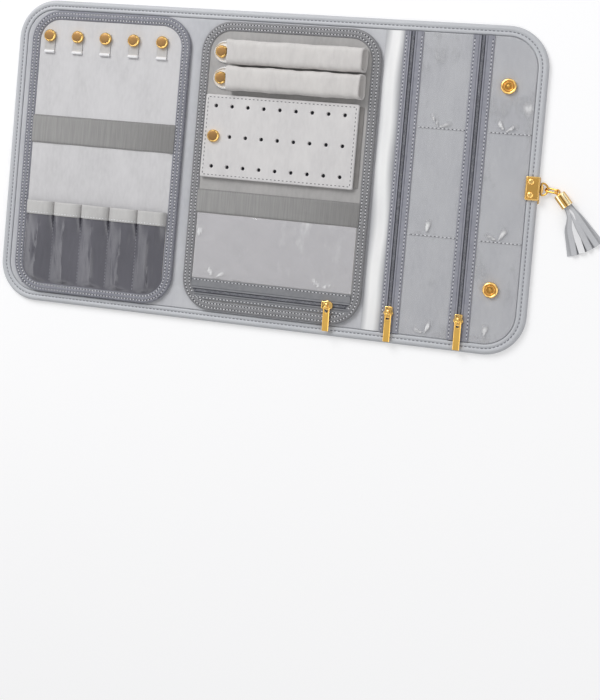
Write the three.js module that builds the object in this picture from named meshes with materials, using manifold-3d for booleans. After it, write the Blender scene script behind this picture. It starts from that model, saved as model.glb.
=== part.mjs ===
// Jewelry roll, lying open on its outer face. Millimetres, +Z up.
// The origin is the centre of the middle panel's outer face. The roll unfolds along X: the left panel with
// the necklace pad, a narrow spine, the middle panel with the ring and earring pad, a wider spine, and the
// flap with two zips, two clear windows and the clasp. Both folds turn about lines parallel to Y.
import * as THREE from 'three';
import Module from 'manifold-3d';
import { mergeVertices } from 'three/addons/utils/BufferGeometryUtils.js';

const wasm = await Module();
wasm.setup();

// Driving dimensions of the roll
const ROLL_LENGTH = 250; // along Y, the length of the closed case
const LEFT_WIDTH = 154;
const LEFT_SPINE_WIDTH = 8;
const MIDDLE_WIDTH = 150;
const RIGHT_SPINE_WIDTH = 13;
const FLAP_WIDTH = 112.5;
const CORNER_RADIUS = 32;

// Shell: cover, board and lining, with the cover turned over the edge
const CLEARANCE = 0.3; // between neighbouring pieces
const OVERRUN = 0.5; // of cuts past a face, and of pieces joined into one
const COVER_THICKNESS = 1.2;
const BOARD_THICKNESS = 1.5;
const LINING_THICKNESS = 1.0;
const RIM_WIDTH = 8;
const BOARD_FOLD_MARGIN = 1.5;

// Pads: a backing held in the groove of a leather binding
const PAD_OUTER_MARGIN = 13.5; // from the roll's outer edge to the left pad
const PAD_FOLD_MARGIN = 0.8;
const RIGHT_PAD_FAR_MARGIN = 1.8;
const LEFT_PAD_END_MARGIN = 8.6;
const RIGHT_PAD_END_MARGIN = 9.4;
const BINDING_WIDTH = 8;
const BINDING_HEIGHT = 3.6;
const BINDING_WALL = 0.8;
const BINDING_RADIUS = 25;
const GROOVE_DEPTH = 5;
const STUD_RADIUS = 2;
const STUD_HEIGHT = 1.1;
const STUD_HOLE_RADIUS = 2.7;

// Necklace tabs and snap caps
const TAB_COUNT = 5;
const TAB_WIDTH = 11.2;
const TAB_THICKNESS = 1.0;
const TAB_FOLD_RADIUS = 1.0;
const TAB_TOP_MARGIN = 6.4; // from the binding to the tab's free end
const TAB_SNAP_MARGIN = 13.2; // from the binding to the snap
const TAB_FOLD_REACH = 13.4; // from the snap to the fold that the tab turns about
const TAB_SHIFT = 3.6; // the tabs sit left of the middle of their pockets
const TAB_END_RADIUS = 2.5;
const CAP_RADIUS = 5;
const CAP_HEIGHT = 3;
const CAP_SKIRT = 1.6;
const CAP_FACE_RADIUS = 4.1;
const CAP_FACE_HEIGHT = 2.7;

// Elastic bands
const LEFT_ELASTIC_WIDTH = 23;
const LEFT_ELASTIC_BASE = 115; // from the lower binding to the band
const RIGHT_ELASTIC_WIDTH = 18.7;
const ELASTIC_THICKNESS = 0.9;

// Pleated satin pockets
const POCKET_DEPTH = 5.4;
const POCKET_HEIGHT = 66.4;
const SATIN_THICKNESS = 0.7;
const TRIM_HEIGHT = 10.3;
const TRIM_THICKNESS = 0.8;
const POCKET_FLAT_POWER = 4; // how square a pocket's bulge is across
const POCKET_ROUND_POWER = 0.6667;

// Ring rolls and earring card
const RING_ROLL_COUNT = 2;
const RING_ROLL_WIDTH = 20;
const RING_ROLL_HEIGHT = 11;
const RING_ROLL_PITCH = 20.8;
const RING_ROLL_TOP_MARGIN = 6.6;
const RING_ROLL_TAPER = 3;
const RING_ROLL_END_TAPER = 2.4;
const RING_STRAP_WIDTH = 16.2;
const RING_TIP_DEPTH = 8; // of the strap's round tip
const RING_STRAP_MARGIN = 4.2; // from the binding to the strap's tip
const RING_SNAP_REACH = 5.6; // from the strap's tip to its snap
const RING_SNAP_STEP = 1.0; // the lower roll's strap starts a little further in
const STRAP_THICKNESS = 1.0;
const TIP_SHARES = [0.05, 0.2, 0.5, 1]; // of the tip's depth
const TAPER_SHARES = [0.06, 0.2, 0.4, 0.65, 1]; // of a taper's length
const END_WIDEN_SHARE = 0.5; // of its end taper, over which a roll reaches its width
const ROLL_POWER = 0.75; // how square a roll's section is
const SEAM_MARGIN = 2.4; // from the binding to the sewn line that rolls and card turn about
const SEAM_REACH = 1.3; // from that line to the padded body
const CARD_HEIGHT = 66.2;
const CARD_GAP = 3.4; // between the lower roll and the card
const CARD_THICKNESS = 3.4;
const CARD_RADIUS = 1.5;
const CARD_SEAM_REACH = 3.3;
const CARD_SNAP_REACH = 9;
const HOLE_RADIUS = 1.25;
const HOLE_PITCH = 13.2;
const HOLE_ROW_MARGIN = 9;
const HOLE_ROWS = 3;
const HOLE_SIDES = 6;
const CARD_SNAP_CLEAR = 6; // no hole closer to the snap than this

// Clear pocket and windows
const CLEAR_THICKNESS = 0.5;
const ELASTIC_CARD_GAP = 9.8;

// Zips
const ZIP_TAPE_THICKNESS = 0.8;
const COIL_WIDTH = 2.6;
const COIL_HEIGHT = 1.0;
const COIL_PITCH = 3.4;
const COIL_TOOTH_DEPTH = 0.5;
const TOOTH_CREST_START_SHARE = 0.35; // of the pitch
const TOOTH_CREST_END_SHARE = 0.65;
const POCKET_ZIP_WIDTH = 16.9;
const POCKET_ZIP_COIL = 6.8; // from the tape's lower edge
const FIRST_ZIP_MARGIN = 1.3; // from the flap's fold edge to the first tape
const FIRST_ZIP_WIDTH = 14.6;
const FIRST_ZIP_COIL = 6.4;
const SECOND_ZIP_WIDTH = 16.4;
const SECOND_ZIP_COIL = 8;
const OUTER_WINDOW_WIDTH = 33.6;
const SLIDER_WIDTH = 7.8; // over its two ears
const SLIDER_LENGTH = 9;
const SLIDER_HEIGHT = 1.9;
// The slider's right side from its square neck to its tail: shares of its half width and of its length
const SLIDER_SIDE_SHARES = [
  [0.73, 0],
  [0.73, 0.22],
  [0.94, 0.46],
  [1, 0.54],
  [0.94, 0.62],
  [0.76, 0.8],
  [0.7, 1],
];
const COIL_CLEARANCE = 0.4;
const BAIL_WIDTH = 1.8;
const BAIL_LENGTH = 4.6;
const BAIL_WALL = 0.6;
const BAIL_RISE = 2.0;
const SLIDER_MARGIN = 16; // from the end of a flap zip to its slider
const POCKET_SLIDER_MARGIN = 17.9;
const PULLER_WIDTH = 5.6;
const PULLER_THICKNESS = 1.0;
const PULLER_LENGTH = 23;
const POCKET_PULLER_LENGTH = 20.4;
const PULLER_SHOULDER_RADIUS = 1.6;
const PULLER_END_RADIUS = 0.4;
const PULLER_SLOT_WIDTH = 3.2;
const PULLER_SLOT_LENGTH = 3.4;
const PULLER_LEVEL_REACH = 5; // the puller runs level this far, then steps down to what it lies on
const PULLER_STEP_REACH = 3.5;

// Closure snaps
const SOCKET_TOP_MARGIN = 45.95; // from the roll's upper edge
const SOCKET_BOTTOM_MARGIN = 49.75; // from its lower edge
const SOCKET_MARGIN = 28.7; // from the flap's free edge
const SOCKET_RADIUS = 6;
const SOCKET_HEIGHT = 2.8;
const SOCKET_LIP = 1.2;
const SOCKET_BORE_RADIUS = 2.6;
const SOCKET_GROOVE_RADIUS = 4.2;
const CLOSURE_STUD_RADIUS = 5.5;
const CLOSURE_STUD_TIP_RADIUS = 2.4;
const CLOSURE_STUD_FLANGE = 1.2;

// Clasp and tassel
const CLASP_SHIFT = 4; // the clasp sits this far above the flap's middle
const CLASP_WIDTH = 18;
const CLASP_REACH = 10.6;
const CLASP_OVERHANG = 1.1; // past the flap's free edge
const CLASP_OUTER_DROP = 2.6; // the outer plate reaches this far below the inner one
const PLATE_THICKNESS = 1.0;
const PLATE_BORDER = 1.1;
const PLATE_BORDER_HEIGHT = 0.4;
const PLATE_RADIUS = 1.2;
const RIVET_RADIUS = 2.4;
const RIVET_RISE = 1.3;
const RIVET_EDGE_RISE = 0.4;
const RIVET_FACE_RADIUS = 1.6;
const RIVET_SHAFT_RADIUS = 0.9;
const RIVET_SPACING = 9.9;
const RIVET_MARGIN = 6.6; // from the plate's outer edge
const BARREL_RADIUS = 1.5;
const BARREL_LENGTH = 5.0;
const BARREL_HEIGHT = 2.6; // of its axis over the floor
const BARREL_REACH = 2.2; // of its axis past the flap's edge
const BARREL_BORE_CLEARANCE = 0.2;
const RING_WIRE_RADIUS = 0.75;
const RING_SPAN = 8.8;
const RING_STRAIGHT = 1.2; // from the straight bar to the arc's centre
const LINK_WIRE_RADIUS = 0.6;
const LINK_BEND_RADIUS = 1.9;
const LINK_PLAY = 0.3;
const LINK_DROP_Y = -1.0; // where the tassel's eye lies, seen from the ring's far end
const LINK_RUN_X = 7.3;
const TASSEL_ANGLE = -50;
const EYE_RADIUS = 1.7;
const EYE_STANDOFF = 2.0; // from the eye's middle to the cap
const CAP_TUBE_RADIUS = 4.6;
const CAP_TUBE_LENGTH = 11;
const CAP_TUBE_WALL = 0.6;
const CAP_CHAMFER = 0.7;
const CAP_GROOVE_DEPTH = 0.3;
const CAP_GROOVE_WIDTH = 0.7;
const CAP_GROOVE_MARGIN = 2.6;
const FLOOR_GAP = 0.2;
const STRIP_COUNT = 9;
const STRIP_LENGTH = 37;
const STRIP_THICKNESS = 0.9;
const STRIP_ROOT_WIDTH = 2.4;
const STRIP_WIDTH = 5.4;
const STRIP_FAN = 32; // degrees between the outermost strips
const STRIP_LEAN = -13; // degrees that the fan lies off the cap's axis
const STRIP_ROOT_DEPTH = 5;

// Facets
const CORNER_STEPS = 6;
const ROUND_SIDES = 18;
const SMALL_SIDES = 12;
const WIRE_SIDES = 8;
const POCKET_STEPS = 10;
const ROLL_SIDES = 16;
const STRIP_STEPS = 5;
const STRIP_BEND_SHARE = 0.5; // share of its length over which a strip bends
const STRIP_WIDEN_SHARE = 0.33; // and over which it widens
const STRIP_ROOT_SPREAD_SHARE = 0.87; // share of the bundle's width that the roots spread over
const RIGHT_ANGLE = 90;
const BEND_SIDES = 6; // of each end of the link

// Colours, roughness and metalness
function finish(color, roughness, metalness = 0) {
  return new THREE.MeshStandardMaterial({ color, roughness, metalness });
}

const COVER_LEATHER = finish(0xa9abaf, 0.55);
const SUEDE = finish(0xcfd0d3, 0.9);
const BOARD = finish(0xb7a98c, 0.9);
const LEFT_BINDING = finish(0x868a96, 0.6);
const RIGHT_BINDING = finish(0x7e8083, 0.6);
const ELASTIC = finish(0x929396, 0.85);
const SATIN = finish(0x6d7079, 0.35);
const PALE_LEATHER = finish(0xdcddde, 0.6);
const CLEAR_FILM = finish(0xe8eaee, 0.15);
const ZIP_TAPE = finish(0x84878f, 0.85);
const GOLD = finish(0xd6a437, 0.25, 1);
const TASSEL_LEATHER = finish(0xa4a6aa, 0.55);

// A closed geometry as a solid that can be joined and cut: only positions are kept, shared corners merged.
function solid(geometry) {
  const bare = geometry.clone();
  bare.deleteAttribute('normal');
  bare.deleteAttribute('uv');
  const merged = mergeVertices(bare);
  const index = merged.index.array;
  const kept = [];
  for (let i = 0; i < index.length; i += 3) {
    const [a, b, c] = [index[i], index[i + 1], index[i + 2]];
    if (a !== b && b !== c && c !== a) kept.push(a, b, c);
  }
  const mesh = new wasm.Mesh({
    numProp: 3,
    vertProperties: new Float32Array(merged.attributes.position.array),
    triVerts: new Uint32Array(kept),
  });
  return new wasm.Manifold(mesh);
}

// A solid as a named mesh with its material.
function piece(name, body, material) {
  const { vertProperties, triVerts } = body.getMesh();
  const geometry = new THREE.BufferGeometry();
  geometry.setAttribute('position', new THREE.BufferAttribute(new Float32Array(vertProperties), 3));
  geometry.setIndex(new THREE.BufferAttribute(new Uint32Array(triVerts), 1));
  geometry.computeVertexNormals();
  const mesh = new THREE.Mesh(geometry, material);
  mesh.name = name;
  return mesh;
}

// Rectangle from low to high, each given as [x, y], with its own radius at each corner.
function outline(low, high, [lowLeft, lowRight, highRight, highLeft] = [0, 0, 0, 0]) {
  const shape = new THREE.Shape();
  const quarter = Math.PI / 2;
  shape.moveTo(low[0] + lowLeft, low[1]);
  shape.lineTo(high[0] - lowRight, low[1]);
  if (lowRight > 0) shape.absarc(high[0] - lowRight, low[1] + lowRight, lowRight, -quarter, 0);
  shape.lineTo(high[0], high[1] - highRight);
  if (highRight > 0) shape.absarc(high[0] - highRight, high[1] - highRight, highRight, 0, quarter);
  shape.lineTo(low[0] + highLeft, high[1]);
  if (highLeft > 0) shape.absarc(low[0] + highLeft, high[1] - highLeft, highLeft, quarter, 2 * quarter);
  shape.lineTo(low[0], low[1] + lowLeft);
  if (lowLeft > 0) shape.absarc(low[0] + lowLeft, low[1] + lowLeft, lowLeft, 2 * quarter, 3 * quarter);
  return shape;
}

// Flat plate with this outline between two heights.
function plate(shape, bottom, top, curveSegments = CORNER_STEPS) {
  const settings = { depth: top - bottom, bevelEnabled: false, curveSegments };
  const geometry = new THREE.ExtrudeGeometry(shape, settings);
  return solid(geometry.translate(0, 0, bottom));
}

// Round bar or disc standing on Z.
function disc(radius, bottom, top, sides = ROUND_SIDES, x = 0, y = 0) {
  const geometry = new THREE.CylinderGeometry(radius, radius, top - bottom, sides);
  geometry.rotateX(Math.PI / 2);
  return solid(geometry.translate(x, y, (bottom + top) / 2));
}

// Round bar along X or Y, centred.
function bar(radius, length, along, sides = SMALL_SIDES) {
  const geometry = new THREE.CylinderGeometry(radius, radius, length, sides);
  if (along === 'x') geometry.rotateZ(Math.PI / 2);
  return solid(geometry);
}

// Box between two corners.
function block(low, high) {
  const size = high.map((value, axis) => value - low[axis]);
  const geometry = new THREE.BoxGeometry(...size);
  return solid(geometry.translate(...low.map((value, axis) => value + size[axis] / 2)));
}

// Turned solid: points are [radius, height], from the axis round to the axis again, turned about Z.
function turned(points, sides = ROUND_SIDES) {
  const profile = points.map(([radius, height]) => new THREE.Vector2(radius, height));
  const geometry = new THREE.LatheGeometry(profile, sides);
  return solid(geometry.rotateX(Math.PI / 2));
}

// Skin over a row of rings with equal numbers of points, closed by flat ends or, if the row closes, by
// itself.
function skin(rings, closed = false) {
  const sides = rings[0].length;
  const positions = rings.flat().flatMap((point) => [point.x, point.y, point.z]);
  const index = [];
  const spans = closed ? rings.length : rings.length - 1;
  for (let i = 0; i < spans; i += 1) {
    const next = (i + 1) % rings.length;
    for (let j = 0; j < sides; j += 1) {
      const k = (j + 1) % sides;
      index.push(i * sides + j, i * sides + k, next * sides + k);
      index.push(i * sides + j, next * sides + k, next * sides + j);
    }
  }
  if (!closed) {
    const last = (rings.length - 1) * sides;
    for (let j = 1; j < sides - 1; j += 1) {
      index.push(0, j + 1, j);
      index.push(last, last + j, last + j + 1);
    }
  }
  const geometry = new THREE.BufferGeometry();
  geometry.setAttribute('position', new THREE.BufferAttribute(new Float32Array(positions), 3));
  geometry.setIndex(index);
  const body = solid(geometry);
  if (body.volume() > 0) return body;
  const flipped = [];
  for (let i = 0; i < index.length; i += 3) flipped.push(index[i], index[i + 2], index[i + 1]);
  geometry.setIndex(flipped);
  return solid(geometry);
}

// Round wire along a flat closed loop of points; normal stands on the loop's plane.
function loop(points, normal, radius) {
  const rings = points.map((point, i) => {
    const before = points[(i + points.length - 1) % points.length];
    const after = points[(i + 1) % points.length];
    const tangent = after.clone().sub(before).normalize();
    const side = tangent.clone().cross(normal).normalize();
    return Array.from({ length: WIRE_SIDES }, (_, j) => {
      const turn = (2 * Math.PI * j) / WIRE_SIDES;
      return point.clone()
        .addScaledVector(side, radius * Math.cos(turn))
        .addScaledVector(normal, radius * Math.sin(turn));
    });
  });
  return skin(rings, true);
}

const union = (bodies) => bodies.reduce((joined, body) => joined.add(body));
const smooth = (t) => {
  const u = Math.min(Math.max(t, 0), 1);
  return u * u * (3 - 2 * u);
};

// Heights of the layers, all over the floor
const BOARD_BASE = COVER_THICKNESS + CLEARANCE;
const BOARD_TOP = BOARD_BASE + BOARD_THICKNESS;
const LINING_BASE = BOARD_TOP + CLEARANCE;
const LINING_TOP = LINING_BASE + LINING_THICKNESS;
const RIM_TOP = LINING_TOP + CLEARANCE;
const BINDING_BASE = LINING_TOP + CLEARANCE;
const BINDING_TOP = BINDING_BASE + BINDING_HEIGHT;
const PAD_BASE = BINDING_BASE + BINDING_WALL + CLEARANCE;
const PAD_TOP = BINDING_TOP - BINDING_WALL - CLEARANCE;
const ON_PAD = PAD_TOP + CLEARANCE;
const ON_LINING = LINING_TOP + CLEARANCE;
const HALF_LENGTH = ROLL_LENGTH / 2;
const HALF_GAP = CLEARANCE / 2;

// Places of the panels along X, from the origin in the middle of the middle panel
const MIDDLE_START = -MIDDLE_WIDTH / 2;
const LEFT_SPINE_START = MIDDLE_START - LEFT_SPINE_WIDTH;
const LEFT_START = LEFT_SPINE_START - LEFT_WIDTH;
const RIGHT_SPINE_START = MIDDLE_START + MIDDLE_WIDTH;
const FLAP_START = RIGHT_SPINE_START + RIGHT_SPINE_WIDTH;
const LEFT_FOLD_X = LEFT_SPINE_START + LEFT_SPINE_WIDTH / 2;
const FLAP_FOLD_X = RIGHT_SPINE_START + RIGHT_SPINE_WIDTH / 2;

const roll = new THREE.Group();
const leftPanel = new THREE.Group();
leftPanel.position.x = LEFT_START;
const leftSpine = new THREE.Group();
leftSpine.position.x = LEFT_SPINE_START;
const middlePanel = new THREE.Group();
middlePanel.position.x = MIDDLE_START;
const rightSpine = new THREE.Group();
rightSpine.position.x = RIGHT_SPINE_START;
const flap = new THREE.Group();
flap.position.x = FLAP_START;
roll.add(leftPanel, leftSpine, middlePanel, rightSpine, flap);

// Outline of a panel of this width, drawn in by a margin from its free edges and by foldMargin from its
// folds. freeEnd is left, right or none, the side where the roll ends.
function panelOutline(width, freeEnd, margin, foldMargin) {
  const radius = CORNER_RADIUS - margin;
  const left = freeEnd === 'left' ? margin : foldMargin;
  const right = width - (freeEnd === 'right' ? margin : foldMargin);
  const radii = {
    left: [radius, 0, 0, radius],
    right: [0, radius, radius, 0],
    none: [0, 0, 0, 0],
  };
  return outline([left, margin - HALF_LENGTH], [right, HALF_LENGTH - margin], radii[freeEnd]);
}

// Cover: outer skin, edge wall and turned-over rim, with room for the board and the lining.
function cover(width, freeEnd) {
  const body = plate(panelOutline(width, freeEnd, 0, HALF_GAP), 0, RIM_TOP);
  const room = plate(panelOutline(width, freeEnd, COVER_THICKNESS, -OVERRUN), COVER_THICKNESS, LINING_BASE);
  const mouth = plate(panelOutline(width, freeEnd, RIM_WIDTH, -OVERRUN), COVER_THICKNESS, RIM_TOP + OVERRUN);
  return body.subtract(room).subtract(mouth);
}

function board(width, freeEnd) {
  const shape = panelOutline(width, freeEnd, COVER_THICKNESS + CLEARANCE, BOARD_FOLD_MARGIN);
  return plate(shape, BOARD_BASE, BOARD_TOP);
}

function lining(width, freeEnd) {
  return plate(panelOutline(width, freeEnd, RIM_WIDTH + CLEARANCE, HALF_GAP), LINING_BASE, LINING_TOP);
}

// Closure snaps: sockets on the flap, and studs where the sockets come down on the folded left panel.
const socketX = FLAP_WIDTH - SOCKET_MARGIN;
const socketYs = [HALF_LENGTH - SOCKET_TOP_MARGIN, SOCKET_BOTTOM_MARGIN - HALF_LENGTH];
const closedSocketX = 2 * FLAP_FOLD_X - (FLAP_START + socketX);
const studX = 2 * LEFT_FOLD_X - closedSocketX - LEFT_START;
const studWellRadius = CLOSURE_STUD_RADIUS + CLEARANCE;

function closureStud() {
  const top = BOARD_TOP;
  const flangeBase = top - CLOSURE_STUD_FLANGE;
  return turned([
    [0, 0],
    [CLOSURE_STUD_TIP_RADIUS - CLEARANCE, 0],
    [CLOSURE_STUD_TIP_RADIUS, CLEARANCE],
    [CLOSURE_STUD_TIP_RADIUS, flangeBase],
    [CLOSURE_STUD_RADIUS, flangeBase],
    [CLOSURE_STUD_RADIUS, top],
    [0, top],
  ]);
}

function closureSocket() {
  const grooveFloor = ON_LINING + SOCKET_HEIGHT - SOCKET_LIP;
  const top = ON_LINING + SOCKET_HEIGHT;
  return turned([
    [0, ON_LINING],
    [SOCKET_RADIUS, ON_LINING],
    [SOCKET_RADIUS, grooveFloor],
    [SOCKET_GROOVE_RADIUS, grooveFloor],
    [SOCKET_GROOVE_RADIUS, top],
    [SOCKET_BORE_RADIUS, top],
    [SOCKET_BORE_RADIUS, grooveFloor],
    [0, grooveFloor],
  ]);
}

const studWells = union(
  socketYs.map((y) => disc(studWellRadius, -OVERRUN, LINING_BASE, ROUND_SIDES, studX, y)),
);
leftPanel.add(piece('cover_left', cover(LEFT_WIDTH, 'left').subtract(studWells), COVER_LEATHER));
leftPanel.add(piece('board_left', board(LEFT_WIDTH, 'left').subtract(studWells), BOARD));
leftPanel.add(piece('lining_left', lining(LEFT_WIDTH, 'left'), SUEDE));
socketYs.forEach((y, i) => {
  const stud = piece(`closure_stud_${i + 1}`, closureStud(), GOLD);
  stud.position.set(studX, y, 0);
  leftPanel.add(stud);
  const socket = piece(`closure_socket_${i + 1}`, closureSocket(), GOLD);
  socket.position.set(socketX, y, 0);
  flap.add(socket);
});

leftSpine.add(piece('spine_left_cover', cover(LEFT_SPINE_WIDTH, 'none'), COVER_LEATHER));
leftSpine.add(piece('spine_left_lining', lining(LEFT_SPINE_WIDTH, 'none'), SUEDE));
middlePanel.add(piece('cover_middle', cover(MIDDLE_WIDTH, 'none'), COVER_LEATHER));
middlePanel.add(piece('board_middle', board(MIDDLE_WIDTH, 'none'), BOARD));
middlePanel.add(piece('lining_middle', lining(MIDDLE_WIDTH, 'none'), SUEDE));
rightSpine.add(piece('spine_right_cover', cover(RIGHT_SPINE_WIDTH, 'none'), COVER_LEATHER));
rightSpine.add(piece('spine_right_lining', lining(RIGHT_SPINE_WIDTH, 'none'), SUEDE));

// Pads. bounds gives the inner edge of the binding, which the pieces on the pad are measured from.
function padBounds(start, end, endMargin) {
  return {
    left: start + BINDING_WIDTH,
    right: end - BINDING_WIDTH,
    bottom: endMargin + BINDING_WIDTH - HALF_LENGTH,
    top: HALF_LENGTH - endMargin - BINDING_WIDTH,
  };
}

function grown(bounds, by, radius) {
  const low = [bounds.left - by, bounds.bottom - by];
  const high = [bounds.right + by, bounds.top + by];
  return outline(low, high, [radius, radius, radius, radius]);
}

function binding(bounds) {
  const outer = plate(grown(bounds, BINDING_WIDTH, BINDING_RADIUS), BINDING_BASE, BINDING_TOP);
  const inner = grown(bounds, 0, BINDING_RADIUS - BINDING_WIDTH);
  const groove = grown(bounds, GROOVE_DEPTH, BINDING_RADIUS - BINDING_WIDTH + GROOVE_DEPTH);
  return outer
    .subtract(plate(inner, BINDING_BASE - OVERRUN, BINDING_TOP + OVERRUN))
    .subtract(plate(groove, BINDING_BASE + BINDING_WALL, BINDING_TOP - BINDING_WALL));
}

// Backing with a small stud wherever something snaps onto it.
function backing(bounds, studs) {
  const reach = GROOVE_DEPTH - CLEARANCE;
  const body = plate(grown(bounds, reach, BINDING_RADIUS - BINDING_WIDTH + reach), PAD_BASE, PAD_TOP);
  const [low, high] = [PAD_TOP - OVERRUN, PAD_TOP + STUD_HEIGHT];
  const bosses = studs.map(([x, y]) => disc(STUD_RADIUS, low, high, SMALL_SIDES, x, y));
  return union([body, ...bosses]);
}

function snapCap() {
  return turned([
    [0, 0],
    [CAP_RADIUS, 0],
    [CAP_RADIUS, CAP_SKIRT],
    [CAP_FACE_RADIUS, CAP_FACE_HEIGHT],
    [0, CAP_HEIGHT],
  ], SMALL_SIDES);
}

// Left pad: necklace tabs above, elastic across the middle, satin pockets below
const leftPad = padBounds(PAD_OUTER_MARGIN, LEFT_WIDTH - PAD_FOLD_MARGIN, LEFT_PAD_END_MARGIN);
const pocketPitch = (leftPad.right - leftPad.left) / TAB_COUNT;
const tabSnapY = leftPad.top - TAB_SNAP_MARGIN;
const tabFoldY = tabSnapY - TAB_FOLD_REACH;
const tabXs = Array.from(
  { length: TAB_COUNT },
  (_, i) => leftPad.left + pocketPitch * (i + 1 / 2) - TAB_SHIFT,
);

leftPanel.add(piece('frame_left', binding(leftPad), LEFT_BINDING));
leftPanel.add(piece('pad_left', backing(leftPad, tabXs.map((x) => [x, tabSnapY])), SUEDE));

// Tab: a strap whose lower end is folded into a roll, with a hole over the pad's stud.
function necklaceTab() {
  const top = leftPad.top - TAB_TOP_MARGIN;
  const low = [-TAB_WIDTH / 2, 0];
  const high = [TAB_WIDTH / 2, top - tabFoldY];
  const strap = plate(outline(low, high, [0, 0, TAB_END_RADIUS, TAB_END_RADIUS]), 0, TAB_THICKNESS);
  const fold = bar(TAB_FOLD_RADIUS, TAB_WIDTH, 'x').translate([0, 0, TAB_FOLD_RADIUS]);
  const hole = disc(STUD_HOLE_RADIUS, -OVERRUN, TAB_THICKNESS + OVERRUN, SMALL_SIDES, 0, TAB_FOLD_REACH);
  return strap.add(fold).subtract(hole);
}

tabXs.forEach((x, i) => {
  const tab = piece(`necklace_tab_${i + 1}`, necklaceTab(), PALE_LEATHER);
  tab.position.set(x, tabFoldY, ON_PAD);
  const cap = piece(`necklace_snap_${i + 1}`, snapCap(), GOLD);
  cap.position.set(x, tabSnapY, ON_PAD + TAB_THICKNESS + CLEARANCE);
  leftPanel.add(tab, cap);
});

// Elastic band sewn down at both ends, under the edge of the binding.
function elastic(bounds, bottom, width) {
  const low = [bounds.left + CLEARANCE, bottom];
  const high = [bounds.right - CLEARANCE, bottom + width];
  return plate(outline(low, high), ON_PAD, ON_PAD + ELASTIC_THICKNESS);
}

const leftElastic = elastic(leftPad, leftPad.bottom + LEFT_ELASTIC_BASE, LEFT_ELASTIC_WIDTH);
leftPanel.add(piece('elastic_left', leftElastic, ELASTIC));

// Height of a pocket's bulge over the pad: u runs from -1 at one seam to 1 at the next.
const bulge = (u) => POCKET_DEPTH * (1 - Math.abs(u) ** POCKET_FLAT_POWER) ** POCKET_ROUND_POWER;

// Upper line of the whole row at a distance over the pockets' inside, as [x, z] points from left to right.
function rowLine(lift) {
  const start = leftPad.left + CLEARANCE;
  const pitch = (leftPad.right - CLEARANCE - start) / TAB_COUNT;
  const line = [];
  for (let i = 0; i <= TAB_COUNT * POCKET_STEPS; i += 1) {
    const across = i / POCKET_STEPS;
    const u = 2 * (across - Math.floor(across)) - 1;
    line.push([start + pitch * across, ON_PAD + lift + bulge(u)]);
  }
  return line;
}

// Solid between two such lines, from one place along Y to another.
function rowBand(upper, lower, bottom, top) {
  const shape = new THREE.Shape();
  shape.moveTo(...upper[0]);
  upper.slice(1).forEach((point) => shape.lineTo(...point));
  lower.slice().reverse().forEach((point) => shape.lineTo(...point));
  const geometry = new THREE.ExtrudeGeometry(shape, { depth: top - bottom, bevelEnabled: false });
  geometry.rotateX(Math.PI / 2);
  return solid(geometry.translate(0, top, 0));
}

function pocketRow() {
  const bottom = leftPad.bottom + CLEARANCE;
  const top = leftPad.bottom + POCKET_HEIGHT;
  const outer = rowLine(SATIN_THICKNESS);
  const floorLine = outer.map(([x]) => [x, ON_PAD]);
  const within = (inset) => plate(
    grown(leftPad, -inset, BINDING_RADIUS - BINDING_WIDTH - inset),
    ON_PAD - 2 * OVERRUN,
    ON_PAD + 2 * POCKET_DEPTH,
  );
  const body = rowBand(outer, floorLine, bottom, top).intersect(within(CLEARANCE));
  const roomLimit = within(CLEARANCE + SATIN_THICKNESS);
  const inner = rowLine(0);
  const rooms = [];
  for (let i = 0; i < TAB_COUNT; i += 1) {
    const ceiling = inner.slice(i * POCKET_STEPS, (i + 1) * POCKET_STEPS + 1);
    const middle = (ceiling[0][0] + ceiling[POCKET_STEPS][0]) / 2;
    const half = (ceiling[POCKET_STEPS][0] - ceiling[0][0]) / 2;
    const share = (half - SATIN_THICKNESS / 2) / half;
    const narrowed = ceiling.map(([x, z]) => [middle + (x - middle) * share, z]);
    const under = narrowed.map(([x]) => [x, ON_PAD - OVERRUN]);
    rooms.push(rowBand(narrowed, under, bottom + SATIN_THICKNESS, top + OVERRUN).intersect(roomLimit));
  }
  return rooms.reduce((left, room) => left.subtract(room), body);
}

function pocketTrim() {
  const top = leftPad.bottom + POCKET_HEIGHT;
  const lower = rowLine(SATIN_THICKNESS + CLEARANCE);
  const upper = rowLine(SATIN_THICKNESS + CLEARANCE + TRIM_THICKNESS);
  return rowBand(upper, lower, top - TRIM_HEIGHT, top);
}

leftPanel.add(piece('satin_pockets', pocketRow(), SATIN));
leftPanel.add(piece('pocket_trim', pocketTrim(), SUEDE));

// Right pad: ring rolls, earring card, elastic, clear pocket and its zip, from the top down
const rightPad = padBounds(PAD_FOLD_MARGIN, MIDDLE_WIDTH - RIGHT_PAD_FAR_MARGIN, RIGHT_PAD_END_MARGIN);
const seamX = rightPad.right - SEAM_MARGIN;
const strapTip = rightPad.left + RING_STRAP_MARGIN;
const ringRolls = Array.from({ length: RING_ROLL_COUNT }, (_, i) => ({
  name: ['upper', 'lower'][i],
  y: rightPad.top - RING_ROLL_TOP_MARGIN - RING_ROLL_WIDTH / 2 - i * RING_ROLL_PITCH,
  tipX: strapTip + i * RING_SNAP_STEP,
  snapX: strapTip + i * RING_SNAP_STEP + RING_SNAP_REACH,
}));
const cardTop = ringRolls[RING_ROLL_COUNT - 1].y - RING_ROLL_WIDTH / 2 - CARD_GAP;
const cardBottom = cardTop - CARD_HEIGHT;
const cardLeft = rightPad.left + CLEARANCE;
const cardRight = seamX - CARD_SEAM_REACH;
const cardMiddleY = (cardTop + cardBottom) / 2;
const cardSnapX = cardLeft + CARD_SNAP_REACH;
const rightStuds = [...ringRolls.map(({ snapX, y }) => [snapX, y]), [cardSnapX, cardMiddleY]];

middlePanel.add(piece('frame_right', binding(rightPad), RIGHT_BINDING));
middlePanel.add(piece('pad_right', backing(rightPad, rightStuds), SUEDE));

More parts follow.
